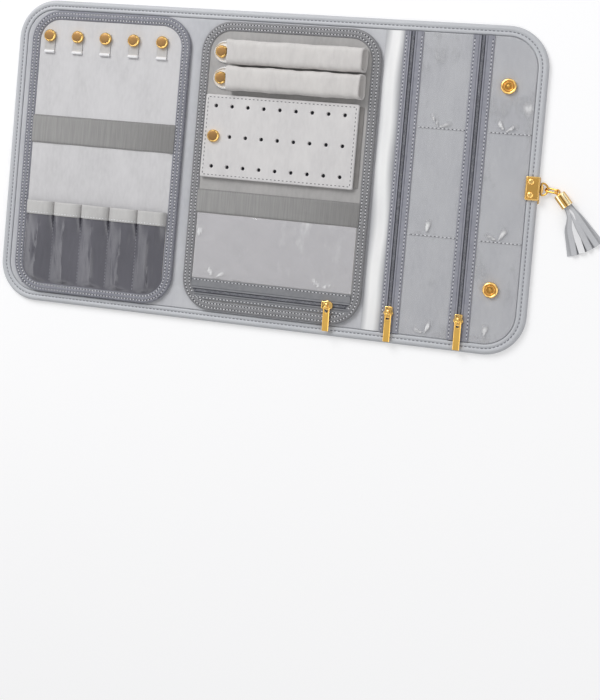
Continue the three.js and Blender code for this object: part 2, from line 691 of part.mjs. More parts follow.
// Ring roll: a flat strap with a round tip, then a padded bar that starts at the strap's snap and ends just
// short of the line where it is sewn down.
function ringRoll({ y, tipX, snapX }) {
  const end = seamX + CLEARANCE;
  const bodyStart = snapX + CAP_RADIUS + CLEARANCE;
  const bodyEnd = seamX - SEAM_REACH;
  const stations = [
    ...TIP_SHARES.map((share) => tipX + share * RING_TIP_DEPTH),
    bodyStart,
    ...TAPER_SHARES.map((share) => bodyStart + share * RING_ROLL_TAPER),
    ...TAPER_SHARES.map((share) => bodyEnd - share * RING_ROLL_END_TAPER).reverse(),
    bodyEnd,
    end,
  ];
  const rings = stations.map((x) => {
    const tip = Math.min((x - tipX) / RING_TIP_DEPTH, 1);
    const start = Math.min(Math.max((x - bodyStart) / RING_ROLL_TAPER, 0), 1);
    const finishShare = Math.min(Math.max((bodyEnd - x) / RING_ROLL_END_TAPER, 0), 1);
    const swell = Math.sqrt(1 - (1 - start) ** 2) * Math.sqrt(1 - (1 - finishShare) ** 2);
    const widen = smooth(start) * smooth(finishShare / END_WIDEN_SHARE);
    const width = RING_STRAP_WIDTH + (RING_ROLL_WIDTH - RING_STRAP_WIDTH) * widen;
    const halfWidth = (width / 2) * Math.sqrt(1 - (1 - tip) ** 2);
    const height = STRAP_THICKNESS + (RING_ROLL_HEIGHT - STRAP_THICKNESS) * swell;
    return Array.from({ length: ROLL_SIDES }, (_, j) => {
      const turn = (2 * Math.PI * (j + 1 / 2)) / ROLL_SIDES;
      const across = Math.sign(Math.cos(turn)) * Math.abs(Math.cos(turn)) ** ROLL_POWER;
      const up = Math.sign(Math.sin(turn)) * Math.abs(Math.sin(turn)) ** ROLL_POWER;
      return new THREE.Vector3(x, y + halfWidth * across, ON_PAD + (height / 2) * (1 + up));
    });
  });
  const [low, high] = [ON_PAD - OVERRUN, ON_PAD + STRAP_THICKNESS + OVERRUN];
  const hole = disc(STUD_HOLE_RADIUS, low, high, SMALL_SIDES, snapX, y);
  return skin(rings).subtract(hole);
}

ringRolls.forEach((place) => {
  middlePanel.add(piece(`ring_roll_${place.name}`, ringRoll(place), PALE_LEATHER));
  const cap = piece(`ring_snap_${place.name}`, snapCap(), GOLD);
  cap.position.set(place.snapX, place.y, ON_PAD + STRAP_THICKNESS + CLEARANCE);
  middlePanel.add(cap);
});

// Earring card: a stiff padded leaf with three rows of holes, sewn down along its right edge.
function earringCard() {
  const radii = [CARD_RADIUS, CARD_RADIUS, CARD_RADIUS, CARD_RADIUS];
  const shape = outline([cardLeft, cardBottom], [cardRight, cardTop], radii);
  const columns = Math.floor((cardRight - cardSnapX - HOLE_ROW_MARGIN) / HOLE_PITCH) + 1;
  const rowStep = (CARD_HEIGHT - 2 * HOLE_ROW_MARGIN) / (HOLE_ROWS - 1);
  for (let row = 0; row < HOLE_ROWS; row += 1) {
    for (let column = 0; column < columns; column += 1) {
      const x = cardSnapX + column * HOLE_PITCH;
      const y = cardTop - HOLE_ROW_MARGIN - row * rowStep;
      const besideSnap = Math.hypot(x - cardSnapX, y - cardMiddleY) < CARD_SNAP_CLEAR;
      if (!besideSnap) {
        const corners = Array.from({ length: HOLE_SIDES }, (_, i) => {
          const turn = (-2 * Math.PI * i) / HOLE_SIDES;
          return new THREE.Vector2(x + HOLE_RADIUS * Math.cos(turn), y + HOLE_RADIUS * Math.sin(turn));
        });
        shape.holes.push(new THREE.Path(corners));
      }
    }
  }
  const leaf = plate(shape, ON_PAD, ON_PAD + CARD_THICKNESS, HOLE_SIDES / 2);
  const tongueLow = [cardRight - OVERRUN, cardBottom + CARD_RADIUS];
  const tongueHigh = [seamX + CLEARANCE, cardTop - CARD_RADIUS];
  const tongue = plate(outline(tongueLow, tongueHigh), ON_PAD, ON_PAD + STRAP_THICKNESS);
  const studTop = ON_PAD + STUD_HEIGHT + CLEARANCE;
  const room = disc(STUD_HOLE_RADIUS, ON_PAD - OVERRUN, studTop, SMALL_SIDES, cardSnapX, cardMiddleY);
  return leaf.add(tongue).subtract(room);
}

middlePanel.add(piece('earring_card', earringCard(), PALE_LEATHER));
const cardCap = piece('earring_snap', snapCap(), GOLD);
cardCap.position.set(cardSnapX, cardMiddleY, ON_PAD + CARD_THICKNESS + CLEARANCE);
middlePanel.add(cardCap);

const rightElasticTop = cardBottom - ELASTIC_CARD_GAP;
const rightElasticBottom = rightElasticTop - RIGHT_ELASTIC_WIDTH;
middlePanel.add(piece('elastic_right', elastic(rightPad, rightElasticBottom, RIGHT_ELASTIC_WIDTH), ELASTIC));

const pocketZipBottom = rightPad.bottom + CLEARANCE;
const pocketZipTop = pocketZipBottom + POCKET_ZIP_WIDTH;
const clearPocket = plate(
  outline(
    [rightPad.left + CLEARANCE, pocketZipTop + CLEARANCE],
    [rightPad.right - CLEARANCE, rightElasticBottom - CLEARANCE],
  ),
  ON_PAD,
  ON_PAD + CLEAR_THICKNESS,
);
middlePanel.add(piece('clear_pocket', clearPocket, CLEAR_FILM));

// Zips. A zip is drawn along Y from 0 to length, its tape from x = 0, the closed coil a row of teeth on it.
// The corners at x = width are rounded with endRadius.
function zipTape(width, length, coilX, endRadius) {
  const tape = block([0, 0, 0], [width, length, ZIP_TAPE_THICKNESS]);
  const teeth = Math.floor(length / COIL_PITCH) - 1;
  const first = (length - teeth * COIL_PITCH) / 2;
  const shape = new THREE.Shape();
  const foot = ZIP_TAPE_THICKNESS - COIL_TOOTH_DEPTH;
  const crown = ZIP_TAPE_THICKNESS + COIL_HEIGHT;
  const valley = crown - COIL_TOOTH_DEPTH;
  shape.moveTo(first, foot);
  shape.lineTo(first + teeth * COIL_PITCH, foot);
  shape.lineTo(first + teeth * COIL_PITCH, valley);
  for (let i = teeth - 1; i >= 0; i -= 1) {
    const start = first + i * COIL_PITCH;
    shape.lineTo(start + TOOTH_CREST_END_SHARE * COIL_PITCH, crown);
    shape.lineTo(start + TOOTH_CREST_START_SHARE * COIL_PITCH, crown);
    shape.lineTo(start, valley);
  }
  const coil = new THREE.ExtrudeGeometry(shape, { depth: COIL_WIDTH, bevelEnabled: false });
  coil.rotateZ(Math.PI / 2);
  coil.rotateY(Math.PI / 2);
  const whole = tape.add(solid(coil.translate(coilX - COIL_WIDTH / 2, 0, 0)));
  const limits = outline([0, 0], [width, length], [0, endRadius, endRadius, 0]);
  return whole.intersect(plate(limits, 0, crown + OVERRUN));
}

const SLIDER_BASE = ZIP_TAPE_THICKNESS + CLEARANCE;
const SLIDER_TOP = SLIDER_BASE + SLIDER_HEIGHT;
const PIVOT_HEIGHT = SLIDER_TOP + CLEARANCE / 2 + PULLER_THICKNESS / 2;

// Slider: a shoe with a channel for the coil and a bail that the puller hangs in, centred over the coil.
// along is the way it runs. The bail always spans Y, so that the puller turns about X.
function zipSlider(along) {
  const half = [SLIDER_WIDTH / 2, SLIDER_LENGTH / 2];
  const side = SLIDER_SIDE_SHARES.map(([wide, down]) => [wide * half[0], half[1] - down * SLIDER_LENGTH]);
  const edge = [...side, ...side.slice().reverse().map(([x, y]) => [-x, y])];
  const shape = new THREE.Shape(edge.map(([x, y]) => new THREE.Vector2(x, y)));
  const shoe = plate(shape, SLIDER_BASE, SLIDER_TOP);
  const channelTop = ZIP_TAPE_THICKNESS + COIL_HEIGHT + COIL_CLEARANCE;
  const reach = COIL_WIDTH / 2 + COIL_CLEARANCE;
  const channel = block([-reach, -half[1] - OVERRUN, 0], [reach, half[1] + OVERRUN, channelTop]);
  const drawn = shoe.subtract(channel);
  const body = along === 'y' ? drawn : drawn.rotate([0, 0, -RIGHT_ANGLE]);
  const bailBase = SLIDER_TOP - OVERRUN;
  const bail = block(
    [-BAIL_WIDTH / 2, -BAIL_LENGTH / 2, bailBase],
    [BAIL_WIDTH / 2, BAIL_LENGTH / 2, SLIDER_TOP + BAIL_RISE],
  );
  const eye = block(
    [-BAIL_WIDTH, BAIL_WALL - BAIL_LENGTH / 2, SLIDER_TOP],
    [BAIL_WIDTH, BAIL_LENGTH / 2 - BAIL_WALL, SLIDER_TOP + BAIL_RISE - BAIL_WALL],
  );
  return body.add(bail.subtract(eye));
}

// Puller: a flat bar hanging towards -Y from its pivot at the origin, stepped down by drop, with a slot at
// the top that leaves a round cross bar under the bail.
function zipPuller(length, drop) {
  const half = PULLER_THICKNESS / 2;
  const level = -PULLER_LEVEL_REACH;
  const foot = level - PULLER_STEP_REACH;
  const shape = new THREE.Shape();
  shape.moveTo(0, half);
  shape.lineTo(level, half);
  shape.lineTo(foot, half - drop);
  shape.lineTo(half - length, half - drop);
  shape.absarc(half - length, -drop, half, Math.PI / 2, (3 * Math.PI) / 2);
  shape.lineTo(foot, -half - drop);
  shape.lineTo(level, -half);
  shape.lineTo(0, -half);
  shape.absarc(0, 0, half, -Math.PI / 2, Math.PI / 2);
  const settings = { depth: PULLER_WIDTH, bevelEnabled: false, curveSegments: SMALL_SIDES / 2 };
  const profile = new THREE.ExtrudeGeometry(shape, settings);
  profile.rotateZ(Math.PI / 2);
  profile.rotateY(Math.PI / 2);
  const face = outline(
    [-PULLER_WIDTH / 2, -length],
    [PULLER_WIDTH / 2, half],
    [PULLER_END_RADIUS, PULLER_END_RADIUS, PULLER_SHOULDER_RADIUS, PULLER_SHOULDER_RADIUS],
  );
  const body = solid(profile.translate(-PULLER_WIDTH / 2, 0, 0))
    .intersect(plate(face, -half - drop - OVERRUN, half + OVERRUN, WIRE_SIDES / 2));
  const slot = block(
    [-PULLER_SLOT_WIDTH / 2, -half - PULLER_SLOT_LENGTH, -half - OVERRUN],
    [PULLER_SLOT_WIDTH / 2, -half, half + OVERRUN],
  );
  return body.subtract(slot);
}

// Tape, slider and puller of one zip. place gives the group, the tape's corner and turn, the slider and what
// the puller lies on.
function addZip(name, place) {
  const strip = zipTape(place.width, place.length, place.coil, place.endRadius);
  const tape = piece(`${name}_tape`, strip, ZIP_TAPE);
  tape.position.set(...place.corner);
  tape.rotation.z = place.along === 'x' ? -Math.PI / 2 : 0;
  const base = place.corner[2];
  const slider = piece(`${name}_slider`, zipSlider(place.along), GOLD);
  slider.position.set(place.sliderX, place.sliderY, base);
  const drop = base + PIVOT_HEIGHT - PULLER_THICKNESS / 2 - (place.restTop + CLEARANCE);
  const puller = piece(`${name}_puller`, zipPuller(place.pullerLength, drop), GOLD);
  puller.position.set(place.sliderX, place.sliderY, base + PIVOT_HEIGHT);
  place.group.add(tape, slider, puller);
}

addZip('pocket_zip', {
  group: middlePanel,
  along: 'x',
  width: POCKET_ZIP_WIDTH,
  length: rightPad.right - rightPad.left - 2 * CLEARANCE,
  coil: POCKET_ZIP_WIDTH - POCKET_ZIP_COIL,
  endRadius: BINDING_RADIUS - BINDING_WIDTH - CLEARANCE,
  corner: [rightPad.left + CLEARANCE, pocketZipTop, ON_PAD],
  sliderX: rightPad.right - POCKET_SLIDER_MARGIN,
  sliderY: pocketZipBottom + POCKET_ZIP_COIL,
  restTop: BINDING_TOP,
  pullerLength: POCKET_PULLER_LENGTH,
});

const flapZipBottom = RIM_WIDTH + CLEARANCE - HALF_LENGTH;
const firstZipX = FIRST_ZIP_MARGIN;
const firstWindowX = firstZipX + FIRST_ZIP_WIDTH + CLEARANCE;
const secondWindowX = FLAP_WIDTH - RIM_WIDTH - CLEARANCE - OUTER_WINDOW_WIDTH;
const secondZipX = secondWindowX - CLEARANCE - SECOND_ZIP_WIDTH;
const flapZips = [
  { name: 'first_zip', x: firstZipX, width: FIRST_ZIP_WIDTH, coil: FIRST_ZIP_COIL },
  { name: 'second_zip', x: secondZipX, width: SECOND_ZIP_WIDTH, coil: SECOND_ZIP_COIL },
];
flapZips.forEach(({ name, x, width, coil }) => {
  addZip(name, {
    group: flap,
    along: 'y',
    width,
    length: -2 * flapZipBottom,
    coil,
    endRadius: 0,
    corner: [x, flapZipBottom, ON_LINING],
    sliderX: x + coil,
    sliderY: flapZipBottom + SLIDER_MARGIN,
    restTop: ON_LINING + ZIP_TAPE_THICKNESS + COIL_HEIGHT,
    pullerLength: PULLER_LENGTH,
  });
});

// Clear windows, as high as the zips. The outer one follows the rim's round corners and lets the sockets
// through.
const flapRoom = panelOutline(FLAP_WIDTH, 'right', RIM_WIDTH + CLEARANCE, HALF_GAP);
const film = (from, to) => plate(flapRoom, ON_LINING, ON_LINING + CLEAR_THICKNESS)
  .intersect(block([from, -HALF_LENGTH, 0], [to, HALF_LENGTH, BINDING_TOP]));
const roomRadius = SOCKET_RADIUS + CLEARANCE;
const socketRooms = socketYs.map((y) => disc(roomRadius, 0, BINDING_TOP, ROUND_SIDES, socketX, y));
flap.add(piece('window_inner', film(firstWindowX, secondZipX - CLEARANCE), CLEAR_FILM));
flap.add(piece('window_outer', film(secondWindowX, FLAP_WIDTH).subtract(union(socketRooms)), CLEAR_FILM));

// Clasp: two plates riveted through the rim, the outer one rolled into a barrel for the D-ring.
const plateEnd = FLAP_WIDTH + CLASP_OVERHANG;
const plateStart = plateEnd - CLASP_REACH;
const plateLow = CLASP_SHIFT - CLASP_WIDTH / 2;
const plateHigh = CLASP_SHIFT + CLASP_WIDTH / 2;
const plateRadii = [PLATE_RADIUS, PLATE_RADIUS, PLATE_RADIUS, PLATE_RADIUS];
const rivetX = plateEnd - RIVET_MARGIN;
const rivetYs = [CLASP_SHIFT - RIVET_SPACING / 2, CLASP_SHIFT + RIVET_SPACING / 2];
const barrelX = FLAP_WIDTH + BARREL_REACH;
const recessTop = PLATE_THICKNESS + CLEARANCE;

const recess = block(
  [plateStart - CLEARANCE, plateLow - CLASP_OUTER_DROP - CLEARANCE, -OVERRUN],
  [plateEnd + OVERRUN, plateHigh + CLEARANCE, recessTop],
);
const rivetHoleRadius = RIVET_SHAFT_RADIUS + CLEARANCE;
const rivetHoles = union(
  rivetYs.map((y) => disc(rivetHoleRadius, 0, RIM_TOP + OVERRUN, WIRE_SIDES, rivetX, y)),
);
const claspRoom = recess.add(rivetHoles);
flap.add(piece('cover_flap', cover(FLAP_WIDTH, 'right').subtract(claspRoom), COVER_LEATHER));
flap.add(piece('board_flap', board(FLAP_WIDTH, 'right').subtract(claspRoom), BOARD));
flap.add(piece('lining_flap', lining(FLAP_WIDTH, 'right'), SUEDE));

const plateOutline = (low) => outline([plateStart, low], [plateEnd, plateHigh], plateRadii);

function claspInnerPlate() {
  const base = ON_LINING + CLEAR_THICKNESS + CLEARANCE;
  const top = base + PLATE_THICKNESS;
  const body = plate(plateOutline(plateLow), base, top + PLATE_BORDER_HEIGHT);
  const fieldLow = [plateStart + PLATE_BORDER, plateLow + PLATE_BORDER];
  const fieldHigh = [plateEnd - PLATE_BORDER, plateHigh - PLATE_BORDER];
  const field = plate(outline(fieldLow, fieldHigh), top, top + OVERRUN + PLATE_BORDER_HEIGHT);
  const rivets = rivetYs.map((y) => turned([
    [0, recessTop + CLEARANCE],
    [RIVET_SHAFT_RADIUS, recessTop + CLEARANCE],
    [RIVET_SHAFT_RADIUS, top - CLEARANCE],
    [RIVET_RADIUS, top - CLEARANCE],
    [RIVET_RADIUS, top + RIVET_EDGE_RISE],
    [RIVET_FACE_RADIUS, top + RIVET_RISE],
    [0, top + RIVET_RISE],
  ], SMALL_SIDES).translate([rivetX, y, 0]));
  return union([body.subtract(field), ...rivets]);
}

function claspOuterPlate() {
  const body = plate(plateOutline(plateLow - CLASP_OUTER_DROP), 0, PLATE_THICKNESS);
  const halfBarrel = BARREL_LENGTH / 2;
  const curl = block(
    [plateEnd - OVERRUN, CLASP_SHIFT - halfBarrel, 0],
    [barrelX, CLASP_SHIFT + halfBarrel, BARREL_HEIGHT],
  );
  const axis = [barrelX, CLASP_SHIFT, BARREL_HEIGHT];
  const barrel = bar(BARREL_RADIUS, BARREL_LENGTH, 'y', ROUND_SIDES).translate(axis);
  const boreRadius = RING_WIRE_RADIUS + BARREL_BORE_CLEARANCE;
  const bore = bar(boreRadius, BARREL_LENGTH + 2 * OVERRUN, 'y', ROUND_SIDES).translate(axis);
  return union([body, curl, barrel]).subtract(bore);
}

flap.add(piece('clasp_inner_plate', claspInnerPlate(), GOLD));
flap.add(piece('clasp_outer_plate', claspOuterPlate(), GOLD));

// D-ring: a straight bar through the barrel, closed by an arc, lying flat.
function dRing() {
  const arcRadius = RING_SPAN / 2 - RING_WIRE_RADIUS;
  const points = [];
  for (let i = 0; i <= ROUND_SIDES / 2; i += 1) {
    const turn = Math.PI * (i / (ROUND_SIDES / 2) - 1 / 2);
    const along = RING_STRAIGHT + arcRadius * Math.cos(turn);
    points.push(new THREE.Vector3(along, arcRadius * Math.sin(turn), 0));
  }
  points.push(new THREE.Vector3(0, arcRadius, 0));
  points.push(new THREE.Vector3(0, -arcRadius, 0));
  return loop(points, new THREE.Vector3(0, 0, 1), RING_WIRE_RADIUS);
}

const ring = piece('d_ring', dRing(), GOLD);
ring.position.set(barrelX, CLASP_SHIFT, BARREL_HEIGHT);
flap.add(ring);

// Link: an upright oval from the D-ring's arc to the tassel's eye, rising from the ring's level to the cap's
// axis.
const ringFarX = barrelX + RING_STRAIGHT + RING_SPAN / 2 - RING_WIRE_RADIUS;
const ringFar = new THREE.Vector3(ringFarX, CLASP_SHIFT, BARREL_HEIGHT);
const capAxisHeight = CAP_TUBE_RADIUS + FLOOR_GAP;
const eyePlace = new THREE.Vector3(ringFar.x + LINK_RUN_X, ringFar.y + LINK_DROP_Y, capAxisHeight);

function ovalLink() {
  const along = eyePlace.clone().sub(ringFar);
  const reach = along.length();
  along.normalize();
  const level = new THREE.Vector3(-along.y, along.x, 0).normalize();
  const upward = along.clone().cross(level).negate().normalize();
  const nearStop = LINK_WIRE_RADIUS + RING_WIRE_RADIUS + LINK_PLAY;
  const near = ringFar.clone().addScaledVector(along, LINK_BEND_RADIUS - nearStop);
  const far = ringFar.clone().addScaledVector(along, reach - LINK_BEND_RADIUS);
  const points = [];
  const bends = BEND_SIDES;
  [[far, -1], [near, 1]].forEach(([centre, side]) => {
    for (let i = 0; i <= bends; i += 1) {
      const turn = Math.PI * (i / bends - 1 / 2);
      points.push(centre.clone()
        .addScaledVector(along, -side * LINK_BEND_RADIUS * Math.cos(turn))
        .addScaledVector(upward, -side * LINK_BEND_RADIUS * Math.sin(turn)));
    }
  });
  return loop(points, level, LINK_WIRE_RADIUS);
}

flap.add(piece('tassel_link', ovalLink(), GOLD));

// Tassel: drawn along +X from its eye, then turned to the way it lies. The cap is a turned cup with an eye.
const tassel = new THREE.Group();
tassel.position.copy(eyePlace);
tassel.rotation.z = THREE.MathUtils.degToRad(TASSEL_ANGLE);
flap.add(tassel);

function tasselCap() {
  const outer = CAP_TUBE_RADIUS;
  const grooved = outer - CAP_GROOVE_DEPTH;
  const end = CAP_TUBE_LENGTH;
  const grooves = [CAP_GROOVE_MARGIN, end - CAP_GROOVE_MARGIN - CAP_GROOVE_WIDTH];
  const grooveLines = grooves.flatMap((start) => [
    [outer, start],
    [grooved, start],
    [grooved, start + CAP_GROOVE_WIDTH],
    [outer, start + CAP_GROOVE_WIDTH],
  ]);
  const cup = turned([
    [0, 0],
    [outer - CAP_CHAMFER, 0],
    [outer, CAP_CHAMFER],
    ...grooveLines,
    [outer, end],
    [outer - CAP_TUBE_WALL, end],
    [outer - CAP_TUBE_WALL, end - STRIP_ROOT_DEPTH - CLEARANCE],
    [0, end - STRIP_ROOT_DEPTH - CLEARANCE],
  ]).rotate([0, RIGHT_ANGLE, 0]).translate([EYE_STANDOFF, 0, 0]);
  const points = Array.from({ length: SMALL_SIDES }, (_, i) => {
    const turn = (2 * Math.PI * i) / SMALL_SIDES;
    return new THREE.Vector3(EYE_RADIUS * Math.cos(turn), EYE_RADIUS * Math.sin(turn), 0);
  });
  return cup.add(loop(points, new THREE.Vector3(0, 0, 1), LINK_WIRE_RADIUS));
}

// Strips: flat leather tails, all from one bundle in the cap, fanning out and sinking to the floor in two
// layers.
function tasselStrips() {
  const rootX = EYE_STANDOFF + CAP_TUBE_LENGTH - STRIP_ROOT_DEPTH;
  const mouthX = EYE_STANDOFF + CAP_TUBE_LENGTH;
  const bundleRadius = CAP_TUBE_RADIUS - CAP_TUBE_WALL - CLEARANCE;
  const bundle = bar(bundleRadius, STRIP_ROOT_DEPTH, 'x', ROUND_SIDES)
    .translate([rootX + STRIP_ROOT_DEPTH / 2, 0, 0]);
  const floor = FLOOR_GAP - capAxisHeight;
  const bodies = [bundle];
  for (let i = 0; i < STRIP_COUNT; i += 1) {
    const place = i / (STRIP_COUNT - 1) - 1 / 2;
    const heading = THREE.MathUtils.degToRad(STRIP_LEAN + STRIP_FAN * place);
    const layer = i % 2;
    const rootY = place * (2 * bundleRadius * STRIP_ROOT_SPREAD_SHARE - STRIP_ROOT_WIDTH);
    const rootZ = (layer * 2 - 1) * (bundleRadius / 2 - STRIP_THICKNESS / 2);
    const tipZ = floor + STRIP_THICKNESS * (layer * 2 + 1) - STRIP_THICKNESS / 2;
    const rings = [];
    for (let step = 0; step <= STRIP_STEPS; step += 1) {
      const t = step / STRIP_STEPS;
      const out = STRIP_LENGTH * t;
      const bend = heading * smooth(t / STRIP_BEND_SHARE);
      const x = mouthX - CLEARANCE * 2 + out * Math.cos(bend);
      const y = rootY + out * Math.sin(bend);
      const z = rootZ + (tipZ - rootZ) * smooth(t);
      const width = STRIP_ROOT_WIDTH + (STRIP_WIDTH - STRIP_ROOT_WIDTH) * smooth(t / STRIP_WIDEN_SHARE);
      const sideX = -Math.sin(bend) * (width / 2);
      const sideY = Math.cos(bend) * (width / 2);
      const half = STRIP_THICKNESS / 2;
      rings.push([
        new THREE.Vector3(x - sideX, y - sideY, z - half),
        new THREE.Vector3(x + sideX, y + sideY, z - half),
        new THREE.Vector3(x + sideX, y + sideY, z + half),
        new THREE.Vector3(x - sideX, y - sideY, z + half),
      ]);
    }
    bodies.push(skin(rings));
  }
  return union(bodies);
}

tassel.add(piece('tassel_cap', tasselCap(), GOLD));
tassel.add(piece('tassel_strips', tasselStrips(), TASSEL_LEATHER));

export default roll;
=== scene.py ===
import bmesh
import bpy
import numpy as np
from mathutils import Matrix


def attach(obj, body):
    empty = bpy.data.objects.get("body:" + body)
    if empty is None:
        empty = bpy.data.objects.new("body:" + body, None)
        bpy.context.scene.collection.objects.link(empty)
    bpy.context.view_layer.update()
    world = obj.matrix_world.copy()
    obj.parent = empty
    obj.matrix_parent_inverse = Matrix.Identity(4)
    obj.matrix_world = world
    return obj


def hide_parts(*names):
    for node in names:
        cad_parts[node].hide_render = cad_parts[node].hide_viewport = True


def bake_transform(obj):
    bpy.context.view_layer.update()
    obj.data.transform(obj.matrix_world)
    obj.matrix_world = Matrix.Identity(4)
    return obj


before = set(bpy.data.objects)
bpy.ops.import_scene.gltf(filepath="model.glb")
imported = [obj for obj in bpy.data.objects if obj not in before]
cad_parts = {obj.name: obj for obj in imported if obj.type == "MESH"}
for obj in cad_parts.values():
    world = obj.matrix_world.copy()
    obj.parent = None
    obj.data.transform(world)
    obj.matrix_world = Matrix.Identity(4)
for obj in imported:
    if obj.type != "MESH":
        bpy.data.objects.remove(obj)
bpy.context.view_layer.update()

# The place: a plain pale table top, seen from above and from the roll's right. Soft light comes from the
# upper left, with a weaker lamp on the right and a white sky. Metal and film mirror a studio instead, with a
# dim ceiling and walls in light and dark patches.
scene = bpy.context.scene
scene.view_settings.view_transform = "Standard"


def add_item(name, data):
    """New object with this data, in the scene."""
    item = bpy.data.objects.new(name, data)
    scene.collection.objects.link(item)
    return item


camera = add_item("camera", bpy.data.cameras.new("camera"))
camera.location = (0.2825, 0.0074, 0.9920)
camera.rotation_euler = (-0.00439, 0.26406, 0.08958)
camera.data.sensor_width = 36
camera.data.lens = 66.857  # 1300 pixels of focal length in a picture 700 pixels high
camera.data.shift_y = -0.2143  # the roll lies in the upper part of the picture
camera.data.clip_start = 0.01
scene.camera = camera


def lamp(name, place, size, watts):
    """Square area lamp at place, turned so that its -Z points from there to the middle of the table."""
    light = bpy.data.lights.new(name, "AREA")
    light.size = size
    light.energy = watts
    item = add_item(name, light)
    item.location = place
    x, y, z = np.negative(place)
    item.rotation_euler = (np.arctan2(np.hypot(x, y), -z), 0, np.arctan2(y, x) - np.pi / 2)


lamp("window_light", (-0.75, 1.0, 1.2), 0.9, 18)
lamp("side_light", (1.1, -0.25, 0.9), 0.8, 2.6)


def feed(owner, socket, value):
    """Gives an input socket of a material or world a value, or links another socket to it."""
    if isinstance(value, bpy.types.NodeSocket):
        owner.node_tree.links.new(value, socket)
    else:
        socket.default_value = value


def add_node(owner, kind, inputs=None, output=0, **settings):
    """New shader node in a material or world, with its settings and inputs. Returns one of its outputs."""
    node = owner.node_tree.nodes.new("ShaderNode" + kind)
    for name, value in settings.items():
        setattr(node, name, value)
    for name, value in (inputs or {}).items():
        feed(owner, node.inputs[name], value)
    return node.outputs[output]


def arithmetic(owner, operation, a, b):
    """Result of one operation on two values or sockets."""
    return add_node(owner, "Math", {0: a, 1: b}, operation=operation)


def remap(owner, value, low, high, least=0.0, most=1.0, kind="LINEAR"):
    """Turns a value between low and high into one between least and most."""
    inputs = {"Value": value, "From Min": low, "From Max": high, "To Min": least, "To Max": most}
    return add_node(owner, "MapRange", inputs, interpolation_type=kind)


sky = bpy.data.worlds.new("studio_sky")
sky.use_nodes = True
scene.world = sky
ray = add_node(sky, "LightPath").node.outputs
mirrored = arithmetic(sky, "MAXIMUM", ray["Is Transmission Ray"], ray["Is Glossy Ray"])
outlook = add_node(sky, "TexCoord", output="Generated")
upward = add_node(sky, "SeparateXYZ", {0: outlook}, "Z")
walls = add_node(sky, "TexNoise", {"Vector": outlook, "Scale": 2.2, "Detail": 0.0})
walls = remap(sky, walls, 0.38, 0.62, 0.35, 2.1, "SMOOTHSTEP")
ceiling = remap(sky, upward, 0.55, 0.95, walls, 0.72, "SMOOTHSTEP")
level = add_node(sky, "Mix", {"Factor": mirrored, "A": 0.42, "B": ceiling})
level = add_node(sky, "Mix", {"Factor": ray["Is Camera Ray"], "A": level, "B": 1.0})
background = sky.node_tree.nodes["Background"].inputs
feed(sky, background["Strength"], level)
feed(sky, background["Color"], (1, 1, 1, 1))

floor_mesh = bpy.data.meshes.new("table_top")
floor_mesh.from_pydata([(-4, -4, 0), (4, -4, 0), (4, 4, 0), (-4, 4, 0)], [], [(0, 1, 2, 3)])
floor = add_item("table_top", floor_mesh)
white = bpy.data.materials.new("table_top")
white.use_nodes = True
white.node_tree.nodes.remove(white.node_tree.nodes["Principled BSDF"])
ray = add_node(white, "LightPath").node.outputs
seen = arithmetic(white, "MAXIMUM", ray["Is Camera Ray"], ray["Is Glossy Ray"])
seen = arithmetic(white, "MAXIMUM", seen, ray["Is Transmission Ray"])
paint = add_node(white, "BsdfDiffuse", {"Color": (0.72, 0.72, 0.73, 1)})
brightness = arithmetic(white, "MULTIPLY", seen, 0.36)
glow = add_node(white, "Emission", {"Color": (1, 1, 1, 1), "Strength": brightness})
both = add_node(white, "AddShader", {0: paint, 1: glow})
feed(white, white.node_tree.nodes["Material Output"].inputs["Surface"], both)
floor_mesh.materials.append(white)

# The cover: one sheet of grey grained faux leather round the stiffening boards, turned over the edge all
# round into a flat rim and stitched down. It is made here in two halves that meet under the middle panel.
ROLL_LENGTH = 250
CORNER_RADIUS = 32
FREE_ENDS = {"left": -237, "right": 200.5}
FOLD_ZONES = {"left": (-65, -93), "right": (98, 66)}


def colour(red, green, blue):
    """Linear colour of an sRGB colour given from 0 to 255."""
    share = np.array([red, green, blue]) / 255
    return (*np.where(share > 0.04045, ((share + 0.055) / 1.055) ** 2.4, share / 12.92), 1)


def grid_faces(rows, columns, close_rows=False, close_columns=False):
    """Faces of a grid of points kept row by row: each joins a point to the next in its row and to the two
    beside them in the next row. A closed direction joins its last line to its first."""
    i = np.arange(rows if close_rows else rows - 1)[:, None]
    j = np.arange(columns if close_columns else columns - 1)[None, :]
    next_i = (i + 1) % rows
    next_j = (j + 1) % columns
    corners = [i * columns + j, i * columns + next_j, next_i * columns + next_j, next_i * columns + j]
    return np.stack(corners, -1).reshape(-1, 4).tolist()


def all_points(parts):
    """Points of all parts, one after the other."""
    return np.concatenate([np.reshape(points, (-1, 3)) for points, _ in parts])


